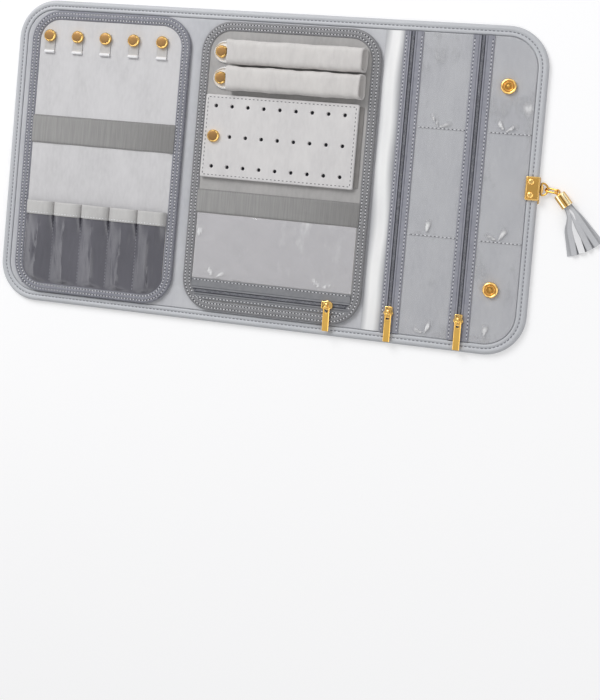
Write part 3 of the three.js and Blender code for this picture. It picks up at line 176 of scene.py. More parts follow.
def make_piece(name, parts, material, body=None, sharp=40, marks=None, weld=True):
    """Object from parts, each a pair of points in millimetres and faces, that rides on a body. Parts are
    welded where they touch, faces are turned outwards, and edges sharper than the given angle stay crisp.
    marks holds a value from 0 to 1 for each point, kept as the attribute that its material reads."""
    faces = []
    start = 0
    for points, part_faces in parts:
        faces += [[start + k for k in face] for face in part_faces]
        start += np.size(points) // 3
    mesh = bpy.data.meshes.new(name)
    mesh.from_pydata(all_points(parts) * 0.001, [], faces)
    if marks is not None:
        layer = mesh.attributes.new("marks", "FLOAT", "POINT")
        layer.data.foreach_set("value", np.asarray(marks, np.float32).ravel())
    if weld:
        work = bmesh.new()
        work.from_mesh(mesh)
        bmesh.ops.remove_doubles(work, verts=work.verts, dist=2e-6)
        bmesh.ops.dissolve_degenerate(work, edges=work.edges, dist=1e-6)
        bmesh.ops.recalc_face_normals(work, faces=work.faces)
        work.to_mesh(mesh)
        work.free()
    mesh.shade_smooth()
    mesh.set_sharp_from_angle(angle=np.radians(sharp))
    mesh.materials.append(material)
    item = add_item(name, mesh)
    if body:
        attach(item, body)
    return item


def shader_inputs(material):
    """Inputs of a material's Principled shader."""
    return material.node_tree.nodes["Principled BSDF"].inputs


def new_material(name, base, roughness, **values):
    """Material with a Principled shader whose inputs hold these values."""
    material = bpy.data.materials.new(name)
    material.use_nodes = True
    for key, value in {"Base_Color": base, "Roughness": roughness, **values}.items():
        feed(material, shader_inputs(material)[key.replace("_", " ")], value)
    return material


def tint(material, layers):
    """Mixes colours into the base colour, one after the other, each by the factor in front of it."""
    target = shader_inputs(material)["Base Color"]
    for factor, second in layers:
        first = target.links[0].from_socket if target.links else tuple(target.default_value)
        mixed = add_node(material, "Mix", {"Factor": factor, 6: first, 7: second}, 2, data_type="RGBA")
        feed(material, target, mixed)


def vary(material, layers, height, depth, strength=1.0):
    """Tints the material and adds a bump of this depth in metres from the height socket."""
    tint(material, layers)
    bump = add_node(material, "Bump", {"Height": height, "Distance": depth, "Strength": strength})
    feed(material, shader_inputs(material)["Normal"], bump)


def noise(material, scale, detail=3.0, stretch=(1, 1, 1), low=0.35, high=0.65, share=1.0):
    """Soft noise on Object coordinates, stretched along the axes. Two of its levels become 0 and share."""
    place = add_node(material, "TexCoord", output="Object")
    mapped = add_node(material, "Mapping", {"Vector": place, "Scale": stretch})
    texture = add_node(material, "TexNoise", {"Vector": mapped, "Scale": scale, "Detail": detail})
    return remap(material, texture, low, high, most=share)


def leather(name, base, dark, grain, depth, roughness):
    """Grained faux leather: small rounded cells parted by fine creases, over slow changes of tone."""
    material = new_material(name, base, roughness, Specular_IOR_Level=0.4)
    place = add_node(material, "TexCoord", output="Object")
    warp = add_node(material, "TexNoise", {"Vector": place, "Scale": grain / 3, "Detail": 2.0}, "Color")
    bent = add_node(material, "VectorMath", {0: warp, "Scale": 0.6 / grain}, operation="SCALE")
    moved = add_node(material, "VectorMath", {0: place, 1: bent}, operation="ADD")
    cells = add_node(material, "TexVoronoi", {"Vector": moved, "Scale": grain}, feature="DISTANCE_TO_EDGE")
    plump = remap(material, cells, 0.0, 0.35, kind="SMOOTHSTEP")
    crease = arithmetic(material, "ADD", arithmetic(material, "MULTIPLY", plump, -0.22), 0.22)
    vary(material, [(noise(material, 14, 2.0, share=0.3), dark), (crease, dark)], plump, depth)
    return material


def raised(places, height):
    """Places in the plane, given a height."""
    return np.concatenate([places, np.full((*np.shape(places)[:-1], 1), height)], -1)


def drawn_in(outline, inward, profile):
    """Rings of an outline, drawn in by each distance of a profile at its height."""
    return np.array([raised(outline + inward * distance, height) for distance, height in profile])


def grid_of(xs, ys):
    """Coordinates of a grid of places, with a row for each x."""
    return np.meshgrid(xs, ys, indexing="ij")


def flat_grid(xs, ys, height):
    """Flat grid of points at a height, with its faces."""
    return raised(np.stack(grid_of(xs, ys), -1), height), grid_faces(len(xs), len(ys))


def half_outline(side):
    """Free edge of one half of the roll, from the middle out along the top edge, round the corner, down the
    end, round the other corner and back. Gives points and the directions that lead inwards from them, and the
    places along X and Y that the flat inside shares with the edge."""
    end = FREE_ENDS[side]
    out = np.sign(end)
    near, far = sorted(np.abs(FOLD_ZONES[side]))
    half = ROLL_LENGTH / 2
    stop = abs(end) - CORNER_RADIUS
    along = [np.linspace(0, near, 7), np.linspace(near, far, 22)[1:], np.linspace(far, stop, 12)[1:]]
    along = out * np.concatenate(along)
    across = np.linspace(half - CORNER_RADIUS, CORNER_RADIUS - half, 21)
    turn = np.radians(np.linspace(90, 0, 19))[1:-1]
    arc = np.stack([out * np.cos(turn), np.sin(turn)], 1)
    top = np.stack([along, np.full(along.size, half)], 1)
    corner = np.array([out * stop, half - CORNER_RADIUS]) + CORNER_RADIUS * arc
    side_line = np.stack([np.full(across.size, end), across], 1)
    flip = np.array([1, -1])
    points = np.concatenate([top, corner, side_line, (corner * flip)[::-1], (top * flip)[::-1]])
    down = np.tile([0, -1], (along.size, 1))
    back = np.tile([-out, 0], (across.size, 1))
    return points, np.concatenate([down, -arc, back, (-arc * flip)[::-1], -down]), along, across


def half_layer(side, profile):
    """Layer of one half of the roll: the outline drawn in by the profile, and the flat inside closed by grids
    below and above. The open end at x = 0 gets a flat face."""
    points, inward, along, across = half_outline(side)
    rings = drawn_in(points, inward, profile)
    flats = [flat_grid(along, across, profile[k][1]) for k in (0, -1)]
    first, last = flats[0][0][0], flats[1][0][0]
    edge = np.concatenate([rings[:, 0], last[1:-1], rings[::-1, -1], first[::-1][1:-1]])
    return [(rings, grid_faces(*rings.shape[:2])), *flats, (edge, [list(range(len(edge)))])]


def bend(piece):
    """Bakes the placement of a piece that crosses a fold into its mesh. It is not bent round the fold, and
    rides on no body."""
    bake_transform(piece)


cover_leather = leather("cover_leather", colour(204, 206, 210), colour(178, 180, 186), 900, 0.00006, 0.5)
COVER_PROFILE = [
    (32, 3.0), (8.0, 3.0), (7.95, 3.9), (7.8, 4.35), (7.3, 4.68), (6.5, 4.85), (5.8, 4.74), (5.25, 4.35),
    (4.75, 4.08), (4.3, 4.32), (3.7, 4.74), (2.8, 4.96), (1.9, 4.8), (1.15, 4.3), (0.55, 3.55), (0.15, 2.8),
    (0, 2.1), (0.15, 1.4), (0.6, 0.8), (1.4, 0.42), (2.6, 0.27), (5, 0.25), (32, 0.25),
]
COVER_NODES = {
    "left": ("cover_left", "board_left", "spine_left_cover"),
    "right": ("cover_middle", "board_middle", "spine_right_cover", "cover_flap", "board_flap"),
}
for side, nodes in COVER_NODES.items():
    parts = half_layer(side, COVER_PROFILE)
    cover = make_piece(f"leather_cover_{side}", parts, cover_leather)
    bend(cover)
    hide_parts(*nodes)

# The rim's stitching: one row of pale grey thread through the turned-over edge, about 3 mm to a stitch. Each
# stitch is a short loop of thread pulled down into the leather at both ends.
RIM_STITCH_INSET = 4.75
RIM_STITCH_LEVEL = 4.3
RIM_STITCH = (3.1, 2.2, 0.75, 0.5)  # pitch, length, width, height
CLASP_SPAN = (-5.6, 13.6)


def along_path(points, pitch):
    """Places about one pitch apart along a line of points, and the directions there."""
    points = np.asarray(points, float)
    run = np.concatenate([[0], np.cumsum(np.linalg.norm(np.diff(points, axis=0), axis=1))])
    count = max(int(round(run[-1] / pitch)), 1)
    at = (np.arange(count) + 0.5) * run[-1] / count
    before, places, after = [
        np.stack([np.interp(at + step, run, points[:, k]) for k in range(3)], 1) for step in (-0.05, 0, 0.05)
    ]
    heading = after - before
    return places, heading / np.linalg.norm(heading, axis=1, keepdims=True)


def thread_row(points, pitch, length, width, height, lean=0.0, skip=None):
    """Row of stitches along a line of points: each is a rounded bar, thick in its middle and sunk at its
    ends, with six sides. lean turns each one a little across the row, as lockstitches lie. There are none
    where skip says so of their places."""
    places, heading = along_path(points, pitch)
    if skip:
        kept = ~skip(*places.T)
        places, heading = places[kept], heading[kept]
    up = np.array([0, 0, 1.0])
    side = np.cross(up, heading)
    side /= np.linalg.norm(side, axis=1, keepdims=True)
    heading = heading * np.cos(lean) + side * np.sin(lean)
    side = np.cross(up, heading)
    run = np.array([-1, -0.8, -0.35, 0.35, 0.8, 1]) * length / 2
    swell = np.array([0.15, 0.75, 1, 1, 0.75, 0.15])[:, None]
    sink = np.array([-1.0, -0.25, 0, 0, -0.25, -1.0])[:, None] * height
    turn = np.arange(6) * np.pi / 3
    body = places[:, None, None] + heading[:, None, None] * run[:, None, None]
    body = body + side[:, None, None] * (swell * np.cos(turn) * width / 2)[..., None]
    body = body + up * (sink + swell * np.sin(turn) * height / 2)[..., None]
    one = grid_faces(6, 6, close_columns=True) + [[5, 4, 3, 2, 1, 0], [30, 31, 32, 33, 34, 35]]
    return body, [[36 * k + v for v in face] for k in range(len(places)) for face in one]


def thread(name, base, dark):
    """Twisted sewing thread: fine slanting strands over a soft sheen."""
    material = new_material(name, base, 0.6, Sheen_Weight=0.2)
    place = add_node(material, "TexCoord", output="Object")
    turned = add_node(material, "Mapping", {"Vector": place, "Rotation": (0, 0, 0.7)})
    strands = add_node(material, "TexWave", {"Vector": turned, "Scale": 900.0, "Distortion": 1.0}, "Fac")
    vary(material, [(noise(material, 700), dark)], strands, 0.00006)
    return material


def under_clasp(x, y, _):
    """Where the clasp's plates cover the rim."""
    return (x > 180) & (y > CLASP_SPAN[0]) & (y < CLASP_SPAN[1])


rim_thread = thread("rim_thread", colour(140, 141, 148), colour(108, 109, 116))
for side in FREE_ENDS:
    points, inward, _, _ = half_outline(side)
    line = raised(points + inward * RIM_STITCH_INSET, RIM_STITCH_LEVEL)
    row = thread_row(line, *RIM_STITCH, skip=under_clasp)
    bend(make_piece(f"rim_stitches_{side}", [row], rim_thread, weld=False))


# The lining: light grey faux suede glued over the boards inside the rim, with a thin shadow line between.
# Its short pile shows the strokes of a hand and small clouds of tone.
def suede(name, base, dark, light):
    """Brushed pile: clouds of tone at two sizes and a fine fibre bump."""
    sheen = {"Sheen_Weight": 0.25, "Sheen_Roughness": 0.4}
    material = new_material(name, base, 0.95, Specular_IOR_Level=0.2, **sheen)
    clouds = noise(material, 60, 4.0, (1, 0.5, 1), share=0.55)
    strokes = noise(material, 420, 3.0, (1, 0.35, 1), share=0.35)
    vary(material, [(clouds, dark), (strokes, light)], noise(material, 3200, 2.0), 0.00012, 0.6)
    return material


lining_suede = suede("lining_suede", colour(205, 206, 210), colour(190, 191, 197), colour(214, 215, 219))
LINING_PROFILE = [(32, 3.3), (8.4, 3.3), (8.4, 4.0), (8.6, 4.22), (9.2, 4.32), (11, 4.3), (32, 4.3)]
LINING_NODES = {
    "left": ("lining_left", "spine_left_lining"),
    "right": ("lining_middle", "lining_flap"),
}
for side, nodes in LINING_NODES.items():
    lining = make_piece(f"suede_lining_{side}", half_layer(side, LINING_PROFILE), lining_suede)
    bend(lining)
    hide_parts(*nodes)

# The wide spine between the middle panel and the flap: a strip of bright silver satin sewn over the suede, a
# little loose, so that it folds easily and catches the light. Painted shade greys its two sides.
SATIN_STRIP = (74.2, 88.9)
SATIN_HALF = 116.4


def satin(name, base, dark, roughness):
    """Satin: smooth floats over a very fine weave, with sheen along one direction."""
    shine = {"Anisotropic": 0.5, "Sheen_Weight": 0.15, "Specular_IOR_Level": 0.7}
    material = new_material(name, base, roughness, **shine)
    slow = noise(material, 45, 3.0, (1, 0.3, 1), share=0.45)
    vary(material, [(slow, dark)], noise(material, 2600, 2.0, (1, 0.2, 1)), 0.00003)
    return material


def streaked(material, tones):
    """Adds tones that the mesh's marks call up: each is a mark without it, a mark in full, and a colour."""
    mark = add_node(material, "Attribute", output="Fac", attribute_name="marks")
    tint(material, [(remap(material, mark, low, high), tone) for low, high, tone in tones])


def shell(over, under):
    """Closed sheet between two grids of points: both faces and four walls."""
    faces = grid_faces(*over.shape[:2])
    parts = [(over, faces), (under, faces)]
    for k in (0, -1):
        parts.append((np.stack([over[k], under[k]]), grid_faces(2, over.shape[1])))
        parts.append((np.stack([over[:, k], under[:, k]]), grid_faces(2, over.shape[0])))
    return parts


def slab(x, y, top, bottom):
    """Closed thin slab over a grid of places: a top surface of given heights, and an underside."""
    return shell(np.stack([x, y, top], -1), np.stack([x, y, np.broadcast_to(bottom, x.shape)], -1))


def centred(value, low, high):
    """-1 at low, 1 at high."""
    return (value - low) / (high - low) * 2 - 1


silver_satin_painted_shade = satin("silver_satin_painted_shade", colour(255, 255, 255), colour(224, 225, 228), 0.3)
# The grey of the painted shade on the strip's sides.
streaked(silver_satin_painted_shade, [(0.0, 1.0, colour(178, 179, 183))])
x, y = grid_of(np.linspace(*SATIN_STRIP, 19), np.linspace(-SATIN_HALF, SATIN_HALF, 120))
u = centred(x, *SATIN_STRIP)
loose = 0.8 * (1 - u**4) + 0.35 * (1 - u**2) * np.sin(y / 17 + 2.0 * u + 0.8 * np.sin(y / 29))
parts = slab(x, y, 4.42 + loose, 4.2)
x, y, _ = all_points(parts).T
# Painted shade: marks grow towards the strip's two sides, wandering along it, and grey the satin there.
aside = centred(x, *SATIN_STRIP) + 0.16 * np.sin(y / 31) + 0.1 * np.sin(y / 12 + 1)
marks = np.clip(np.abs(aside) * 1.5 - 0.55, 0, 1)
strip = make_piece("satin_spine", parts, silver_satin_painted_shade, marks=marks)
bend(strip)
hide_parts("spine_right_lining")

# The bindings round both pads: a folded band of embossed faux leather, 8 mm wide, that holds the pad's edge
# and is sewn through with two rows of white thread. The needle holes between the stitches are sunk a little
# and carry painted shade, on the band and as small dark bars.
PANELS = {"left": "left_panel", "right": "middle_panel"}
BINDING_RADIUS = 21  # on the line between the two rows
BINDING_HALF_WIDTH = 4
BINDING_PITCH = 2.6
BINDING_ROW = 1.75  # from the middle line to each row
BINDING_STITCH = (BINDING_PITCH, 1.5, 0.9, 0.65)
BINDING_HOLE = (BINDING_PITCH, 1.0, 0.95, 0.4)
BINDINGS = {
    "left": (-219.5, -87.8, 112.4),
    "right": (-70.2, 69.2, 111.6),
}
BINDING_PROFILE = [
    (3.5, 4.4), (3.95, 5.0), (4.08, 5.8), (4.02, 6.5), (3.8, 7.1), (3.4, 7.6), (2.9, 7.94), (2.4, 8.04),
    (2.05, 7.88), (1.75, 7.66), (1.45, 7.86), (1.1, 8.08), (0.6, 8.2), (0, 8.24), (-0.6, 8.2), (-1.1, 8.08),
    (-1.45, 7.86), (-1.75, 7.66), (-2.05, 7.88), (-2.4, 8.02), (-2.9, 7.92), (-3.4, 7.55), (-3.8, 7.05),
    (-4.0, 6.5), (-3.9, 5.6), (-3.5, 4.4),
]


def round_corner_loop(x0, x1, half, radius, pitch, samples):
    """Points evenly spaced along a rectangle with round corners, samples to each pitch, starting in the
    middle of its lower side, with the outward directions there."""
    straight = np.array([x1 - x0, 2 * half]) - 2 * radius
    arc = np.pi * radius / 2
    total = 2 * straight.sum() + 4 * arc
    count = int(round(total / pitch)) * samples
    at = (np.arange(count) * total / count + straight[0] / 2) % total
    far_x, near_x, far_y = x1 - radius, x0 + radius, half - radius
    points, outward = np.zeros((2, count, 2))
    start = 0.0
    for k, centre in enumerate([(far_x, -far_y), (far_x, far_y), (near_x, far_y), (near_x, -far_y)]):
        past = at - start - straight[k % 2]  # negative along the straight, then the way round the corner
        on = (at >= start) & (past < arc)
        turn = np.radians(90 * k - 90) + np.maximum(past[on], 0) / radius
        outward[on] = np.stack([np.cos(turn), np.sin(turn)], 1)
        ahead = np.stack([-np.sin(turn), np.cos(turn)], 1)
        points[on] = centre + radius * outward[on] + ahead * np.minimum(past[on], 0)[:, None]
        start += straight[k % 2] + arc
    return points, outward


def wrapped(rings, lengthwise=False):
    """Part from closed rings of points, closed from the last ring to the first too if lengthwise."""
    return rings, grid_faces(*rings.shape[:2], lengthwise, True)


def bell(distance, width, power=2):
    """1 where the distance is 0, falling away smoothly over this width."""
    return np.exp(-((distance / width) ** power))


def binding_material(name, base, dark, light):
    """Embossed leather whose needle holes, marked on the mesh, carry painted shade."""
    material = leather(name, base, dark, 1100, 0.00008, 0.55)
    tint(material, [(noise(material, 900, 3.0, low=0.5, high=0.75), light)])
    streaked(material, [(0.0, 1.0, colour(38, 38, 44))])
    return material


blue_greys = colour(136, 137, 146), colour(108, 109, 120), colour(168, 169, 178)
greys = colour(136, 136, 139), colour(112, 112, 115), colour(163, 163, 166)
binding_leather = {
    "left": binding_material("blue_grey_binding", *blue_greys),
    "right": binding_material("grey_binding", *greys),
}
white_thread = thread("white_thread", colour(244, 244, 246), colour(214, 215, 219))
# Painted shade: dark bars laid in needle holes, and dark discs at the card's hole floors, where only shade
# falls.
needle_hole_shade = new_material("needle_holes", colour(58, 59, 66), 0.9)
vary(needle_hole_shade, [(noise(needle_hole_shade, 900), colour(38, 39, 45))], noise(needle_hole_shade, 2000), 0.00002)
for side, box in BINDINGS.items():
    points, outward = round_corner_loop(*box, BINDING_RADIUS, BINDING_PITCH, 4)
    away, height = np.array(BINDING_PROFILE).T
    at_hole = np.tile([1.0, 0.35, 0.0, 0.35], len(points) // 4)
    # Marks at the needle holes: painted shade there, and a slight sink of the band.
    marks = bell(np.abs(away) - BINDING_ROW, 0.4) * (height > 7) * at_hole[:, None]
    rings = np.zeros((*marks.shape, 3))
    rings[..., :2] = points[:, None] + outward[:, None] * away[:, None]
    rings[..., 2] = height - 0.25 * marks
    parts = [wrapped(rings, lengthwise=True)]
    binding = make_piece(
        f"binding_{side}", parts, binding_leather[side], PANELS[side], sharp=70, marks=marks
    )
    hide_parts(f"frame_{side}")
    rows, pits = [], []
    for offset in (BINDING_ROW, -BINDING_ROW):
        line = raised(points + outward * offset, 7.95)[::4]
        closed = np.concatenate([line, line[:1]])
        middles = (closed[1:] + closed[:-1]) / 2
        rows.append(thread_row(np.concatenate([middles, middles[:1]]), *BINDING_STITCH))
        pits.append(thread_row(closed + (0, 0, -0.12), *BINDING_HOLE))
    make_piece(f"binding_stitches_{side}", rows, white_thread, PANELS[side], weld=False)
    # Dark bars of painted shade in the binding's needle holes.
    make_piece(f"binding_needle_holes_{side}", pits, needle_hole_shade, PANELS[side], weld=False)

# The pads: thin foam under light brushed suede, held in the bindings' grooves. They are very slightly
# crowned, and uneven as stretched suede is.
PAD_INSET = 0.8  # of a pad's edge in the groove, from the binding's middle line
PAD_RADIUS = 20
PAD_PROFILE = [
    (PAD_RADIUS, 5.7), (0, 5.7), (0, 6.5), (0.4, 6.9), (1.2, 7.0), (3, 7.03), (6, 7.06), (PAD_RADIUS, 7.06),
]


def grid_outline(xs, ys, steps):
    """Border of a grid of places, anticlockwise, with the outward directions there. They turn by a quarter
    in these steps at each corner."""
    turn = np.radians(np.linspace(0, 90, steps))[1:-1]
    base, out = [], []
    for k, line in enumerate([(xs[::-1], ys[-1]), (xs[0], ys[::-1]), (xs, ys[0]), (xs[-1], ys)]):
        line = np.stack(np.broadcast_arrays(*line), 1)
        angle = turn + np.pi / 2 * k
        base += [np.tile(line[0], (len(turn), 1)), line]
        out += [np.stack([np.cos(angle), np.sin(angle)], 1)]
        out += [np.tile([(0, 1), (-1, 0), (0, -1), (1, 0)][k], (len(line), 1))]
    return np.concatenate(base), np.concatenate(out)


def pad_block(x0, x1, half):
    """Closed slab with round corners and a rounded upper edge, whose top swells and is a little uneven."""
    xs = np.linspace(x0 + PAD_RADIUS, x1 - PAD_RADIUS, 61)
    ys = np.linspace(-half + PAD_RADIUS, half - PAD_RADIUS, 81)
    base, out = grid_outline(xs, ys, 9)
    rings = drawn_in(base, -out, [(distance - PAD_RADIUS, height) for distance, height in PAD_PROFILE])
    flats = [flat_grid(xs, ys, PAD_PROFILE[k][1]) for k in (0, -1)]
    for points in (rings, flats[1][0]):
        x, y, z = np.moveaxis(points, -1, 0)
        swell = np.clip(1 - centred(x, x0, x1) ** 6, 0, 1) * np.clip(1 - (y / half) ** 6, 0, 1)
        uneven = 0.05 * np.sin(x / 9 + 1.5 * np.sin(y / 23)) * np.sin(y / 13)
        z += (0.16 * swell + uneven) * (z > PAD_PROFILE[-1][1] - 0.3)
    return [wrapped(rings), *flats]


pad_suede = {
    "left": suede("pad_suede", colour(217, 216, 218), colour(200, 199, 201), colour(227, 226, 228)),
    # The middle panel's pad is a darker copy of the same suede: painted shade for the shadow round the rolls
    # and beside the binding.
    "right": suede("pad_suede_painted_shade", colour(182, 180, 179), colour(162, 161, 161), colour(193, 191, 190)),
}
for side, (x0, x1, half) in BINDINGS.items():
    parts = pad_block(x0 + PAD_INSET, x1 - PAD_INSET, half - PAD_INSET)
    pad = make_piece(f"suede_pad_{side}", parts, pad_suede[side], PANELS[side])
    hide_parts(f"pad_{side}")

# The necklace tabs: five short straps of the pad's suede. A snap holds each one near its top, and its lower
# end is folded back into a stiff roll, whose near-white colour is a painted highlight.
TAB_PLACES = (-206.73, -181.99, -157.25, -132.51, -107.77)
TAB_SNAP_Y = 95.2
TAB_HALF_WIDTH = 4.4
TAB_ROUNDING = 0.3
TAB_ROLL_START = 83.4
TAB_PROFILE = [
    (98.6, 7.3), (98.9, 7.4), (98.95, 7.55), (98.8, 7.7), (98.4, 7.78), (92, 7.8), (85.2, 7.8), (84.8, 7.8),
    (83.7, 8.1), (83.2, 8.7), (82.7, 9.15), (82.1, 9.3), (81.5, 9.2), (81.1, 8.85), (80.95, 8.3),
    (81.05, 7.8), (81.4, 7.45), (82.0, 7.3), (92, 7.3),
]


def edge_normals(outline):
    """Outward normals of a closed line of points that runs clockwise or anticlockwise."""
    ahead = np.roll(outline, -1, 0) - np.roll(outline, 1, 0)
    normal = np.stack([ahead[:, 1], -ahead[:, 0]], 1)
    normal /= np.linalg.norm(normal, axis=1, keepdims=True)
    x, y = outline.T
    return normal * np.sign(np.sum(x * np.roll(y, -1) - np.roll(x, -1) * y))


def lofted(rings):
    """Part from closed rings of points, with flat faces over the first and the last."""
    count, size = rings.shape[:2]
    caps = [list(range(size)), list(range((count - 1) * size, count * size))]
    return rings, grid_faces(count, size, close_columns=True) + caps


def outline_block(outline, levels):
    """Closed block over an outline: at each level it is drawn in by a distance, at a height."""
    outline = np.asarray(outline, float)
    return lofted(drawn_in(outline, -edge_normals(outline), levels))


tab_suede = suede("tab_suede", colour(202, 200, 199), colour(188, 187, 187), colour(212, 210, 209))
# Painted highlight: the marked roll at each strap's foot turns near white.
streaked(tab_suede, [(0.0, 1.0, colour(244, 244, 246))])
turn = np.radians(np.linspace(0, 90, 5))
aside = TAB_HALF_WIDTH - TAB_ROUNDING * (1 - np.cos(turn))
drawn = TAB_ROUNDING * (1 - np.sin(turn))
for k, x in enumerate(TAB_PLACES, 1):
    rings, faces = outline_block(TAB_PROFILE, [*zip(drawn, x - aside), *zip(drawn[::-1], x + aside[::-1])])
    rings = np.roll(rings, 1, -1)  # the outline is the strap's side, carried along X
    marks = rings[..., 1] < TAB_ROLL_START
    tab = make_piece(f"tab_{k}", [(rings, faces)], tab_suede, f"tab_{k}", marks=marks)
    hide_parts(f"necklace_tab_{k}")


# The snap caps on tabs, ring rolls and card: pressed brass cups, gold plated, with a bevelled edge and a
# flat face with a fine brushed grain. The face is a darker copy of the same gold: painted shade.
def gold(name, base, roughness, grain=(1, 1, 1), scale=1500):
    """Polished plating with fine polishing lines and a faint change of tone."""
    coat = {"Coat_Weight": 0.5, "Coat_Roughness": 0.1}
    material = new_material(name, base, roughness, Metallic=1.0, **coat)
    darker = (*(0.8 * value for value in base[:3]), 1)
    lines = noise(material, scale, 2.0, grain)
    vary(material, [(noise(material, 90, 2.0, share=0.35), darker)], lines, 0.00001)
    return material


def turned_part(section, place, sides=56):
    """Solid of revolution about a vertical line: a section of radii and heights carried round it."""
    radius, height = np.array(section, float).T[:, :, None]
    turn = np.arange(sides) * 2 * np.pi / sides
    rings = np.stack([radius * np.cos(turn), radius * np.sin(turn), height + 0 * turn], -1)
    return lofted(rings + place)


bright_gold = gold("bright_gold", colour(228, 186, 108), 0.2)
puller_gold = gold("puller_gold", colour(234, 186, 92), 0.28, (1, 0.08, 1), 2400)
# Darker copies of the same plating: painted shade on the caps' flat faces, the clasp's field and the sockets'
# bores.
face_gold_painted_shade = gold("brushed_gold_painted_shade", colour(146, 111, 66), 0.4, (1, 0.06, 1), 2400)
plate_gold_painted_shade = gold("plate_gold_painted_shade", colour(196, 152, 74), 0.36, (1, 0.06, 1), 2400)
CAP_SKIRT = [
    (4.5, -0.6), (4.85, -0.55), (5.0, -0.3), (5.0, 1.5), (4.92, 1.8), (4.25, 2.5), (4.05, 2.62), (3.9, 2.6),
    (3.9, 2.2),
]
CAP_FACE = [(3.0, 2.2), (3.92, 2.2), (3.92, 2.56), (3.6, 2.62), (2.0, 2.7), (0.4, 2.72)]
CARD_SNAP = (-56.9, 23.7)
CAPS = [(f"necklace_{{}}_{k}", f"tab_{k}", (x, TAB_SNAP_Y, 8.3)) for k, x in enumerate(TAB_PLACES, 1)]
CAPS += [
    ("ring_{}_upper", "upper_ring_roll", (-56.4, 91.0, 8.6)),
    ("ring_{}_lower", "lower_ring_roll", (-55.4, 70.2, 8.6)),
    ("earring_{}", "earring_leaf", (*CARD_SNAP, 10.95)),
]
for name, body, place in CAPS:
    cap = name.format("cap")
    skirt = make_piece(cap + "_edge", [turned_part(CAP_SKIRT, place)], bright_gold, body, sharp=30)
    make_piece(cap + "_face", [turned_part(CAP_FACE, place)], face_gold_painted_shade, body, sharp=30)
    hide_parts(name.format("snap"))

# The elastic bands: woven rubber ribbon with fine ribs across it, sewn down at both ends under the bindings
# and pulled just tight enough to lie on the pads.
BAND_FLOOR = 7.32
BAND_HEM = 3.4
BANDS = {
    "left": (-216.5, -90.8, 6.6, 29.6),
    "right": (-67.2, 66.2, -37.9, -19.2),
}


def elastic_weave(name, base, dark):
    """Ribbed weave: fine cords across the band, crossed by finer threads. Marked places are darker: painted
    shade along the selvedges, and a darkening towards the band's right end."""
    material = new_material(name, base, 0.8, Sheen_Weight=0.2)
    place = add_node(material, "TexCoord", output="Object")
    cords = {"Vector": place, "Scale": 370.0, "Distortion": 0.6, "Detail": 1.0}
    cords = add_node(material, "TexWave", cords, "Fac", bands_direction="X")
    threads = {"Vector": place, "Scale": 900.0, "Distortion": 0.3}
    threads = add_node(material, "TexWave", threads, "Fac", bands_direction="Y")
    both = arithmetic(material, "ADD", arithmetic(material, "MULTIPLY", threads, 0.35), cords)
    shade = arithmetic(material, "MULTIPLY", cords, 0.4)
    streaks = noise(material, 900, 2.0, (1, 0.04, 1), share=0.4)
    vary(material, [(shade, dark), (streaks, dark)], both, 0.00012)
    streaked(material, [(0.0, 1.0, colour(84, 83, 83))])
    return material


band_elastic = elastic_weave("band_elastic", colour(172, 171, 170), colour(134, 133, 133))
for side, (x0, x1, y0, y1) in BANDS.items():
    xs = np.concatenate([np.linspace(x0, x1 - 5, 80), np.linspace(x1 - 4.6, x1, 18)])
    x, y = grid_of(xs, np.linspace(y0, y1, 25))
    u, v = centred(x, x0, x1), centred(y, y0, y1)
    lift = 0.72 - 0.4 * np.abs(v) ** 14 + 0.15 * np.cos(u * 11 + 1.0) * (1 - u**8)
    lift = lift + 0.05 * np.sin(v * 6 + u * 3)
    lift = lift + 0.45 / (1 + np.exp(np.minimum(x1 - BAND_HEM - x, 10) * 6))  # the end is folded under
    parts = slab(x, y, BAND_FLOOR + lift, BAND_FLOOR - 0.1)
    x, y, _ = all_points(parts).T
    # Painted shade along both edges of the band, and darker towards its right end.
    painted_edge_shade = np.clip(3.25 * np.abs(centred(y, y0, y1)) - 2.75, 0, 0.5)
    marks = np.maximum(painted_edge_shade, 0.42 * np.clip((x - x0) / (x1 - x0), 0, 1) ** 2)
    band = make_piece(f"elastic_band_{side}", parts, band_elastic, PANELS[side], marks=marks)
    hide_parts(f"elastic_{side}")

# The satin pockets: one sheet of dark satin sewn to the pad along its foot and along four seams, and
# gathered so that each of the five pockets stands open at the top and runs out in a ridge with soft creases.
POCKET_START, POCKET_STOP = -215.2, -92.1
POCKET_PITCH = (POCKET_STOP - POCKET_START) / 5
POCKET_FOOT, POCKET_MOUTH = -110.5, -42.0
POCKET_DEPTH = 5.4
SEAM_START, SEAM_STOP, SEAM_LEVEL = -54, -107, 7.95
SEAM_STITCH = (2.6, 1.5, 0.4, 0.3)
PAD_TOP = 7.4


def inside_left_binding(x, y):
    """Distance in from the left binding's inner edge, which is a rectangle with round corners."""
    x0, x1, half = BINDINGS["left"]
    radius = BINDING_RADIUS - BINDING_HALF_WIDTH
    qx = np.abs(x - (x0 + x1) / 2) - (x1 - x0) / 2 + BINDING_RADIUS
    qy = np.abs(y) - half + BINDING_RADIUS
    return radius - np.hypot(np.maximum(qx, 0), np.maximum(qy, 0)) - np.minimum(np.maximum(qx, qy), 0)


def pocket_at(s):
    """Which pocket a place along the row is in, and where: from -1 at one seam to 1 at the next."""
    which = np.minimum(np.floor(s), 4)
    return which, 2 * (s - which) - 1


def mouth_bulge(u):
    """Height share of a pocket's open mouth: broad, with steep sides."""
    return np.clip(1 - np.abs(u) ** 4, 0, 1) ** (2 / 3)


def smooth(t):
    """Soft step from 0 to 1 as t goes from 0 to 1."""
    t = np.clip(t, 0, 1)
    return t**2 * (3 - 2 * t)


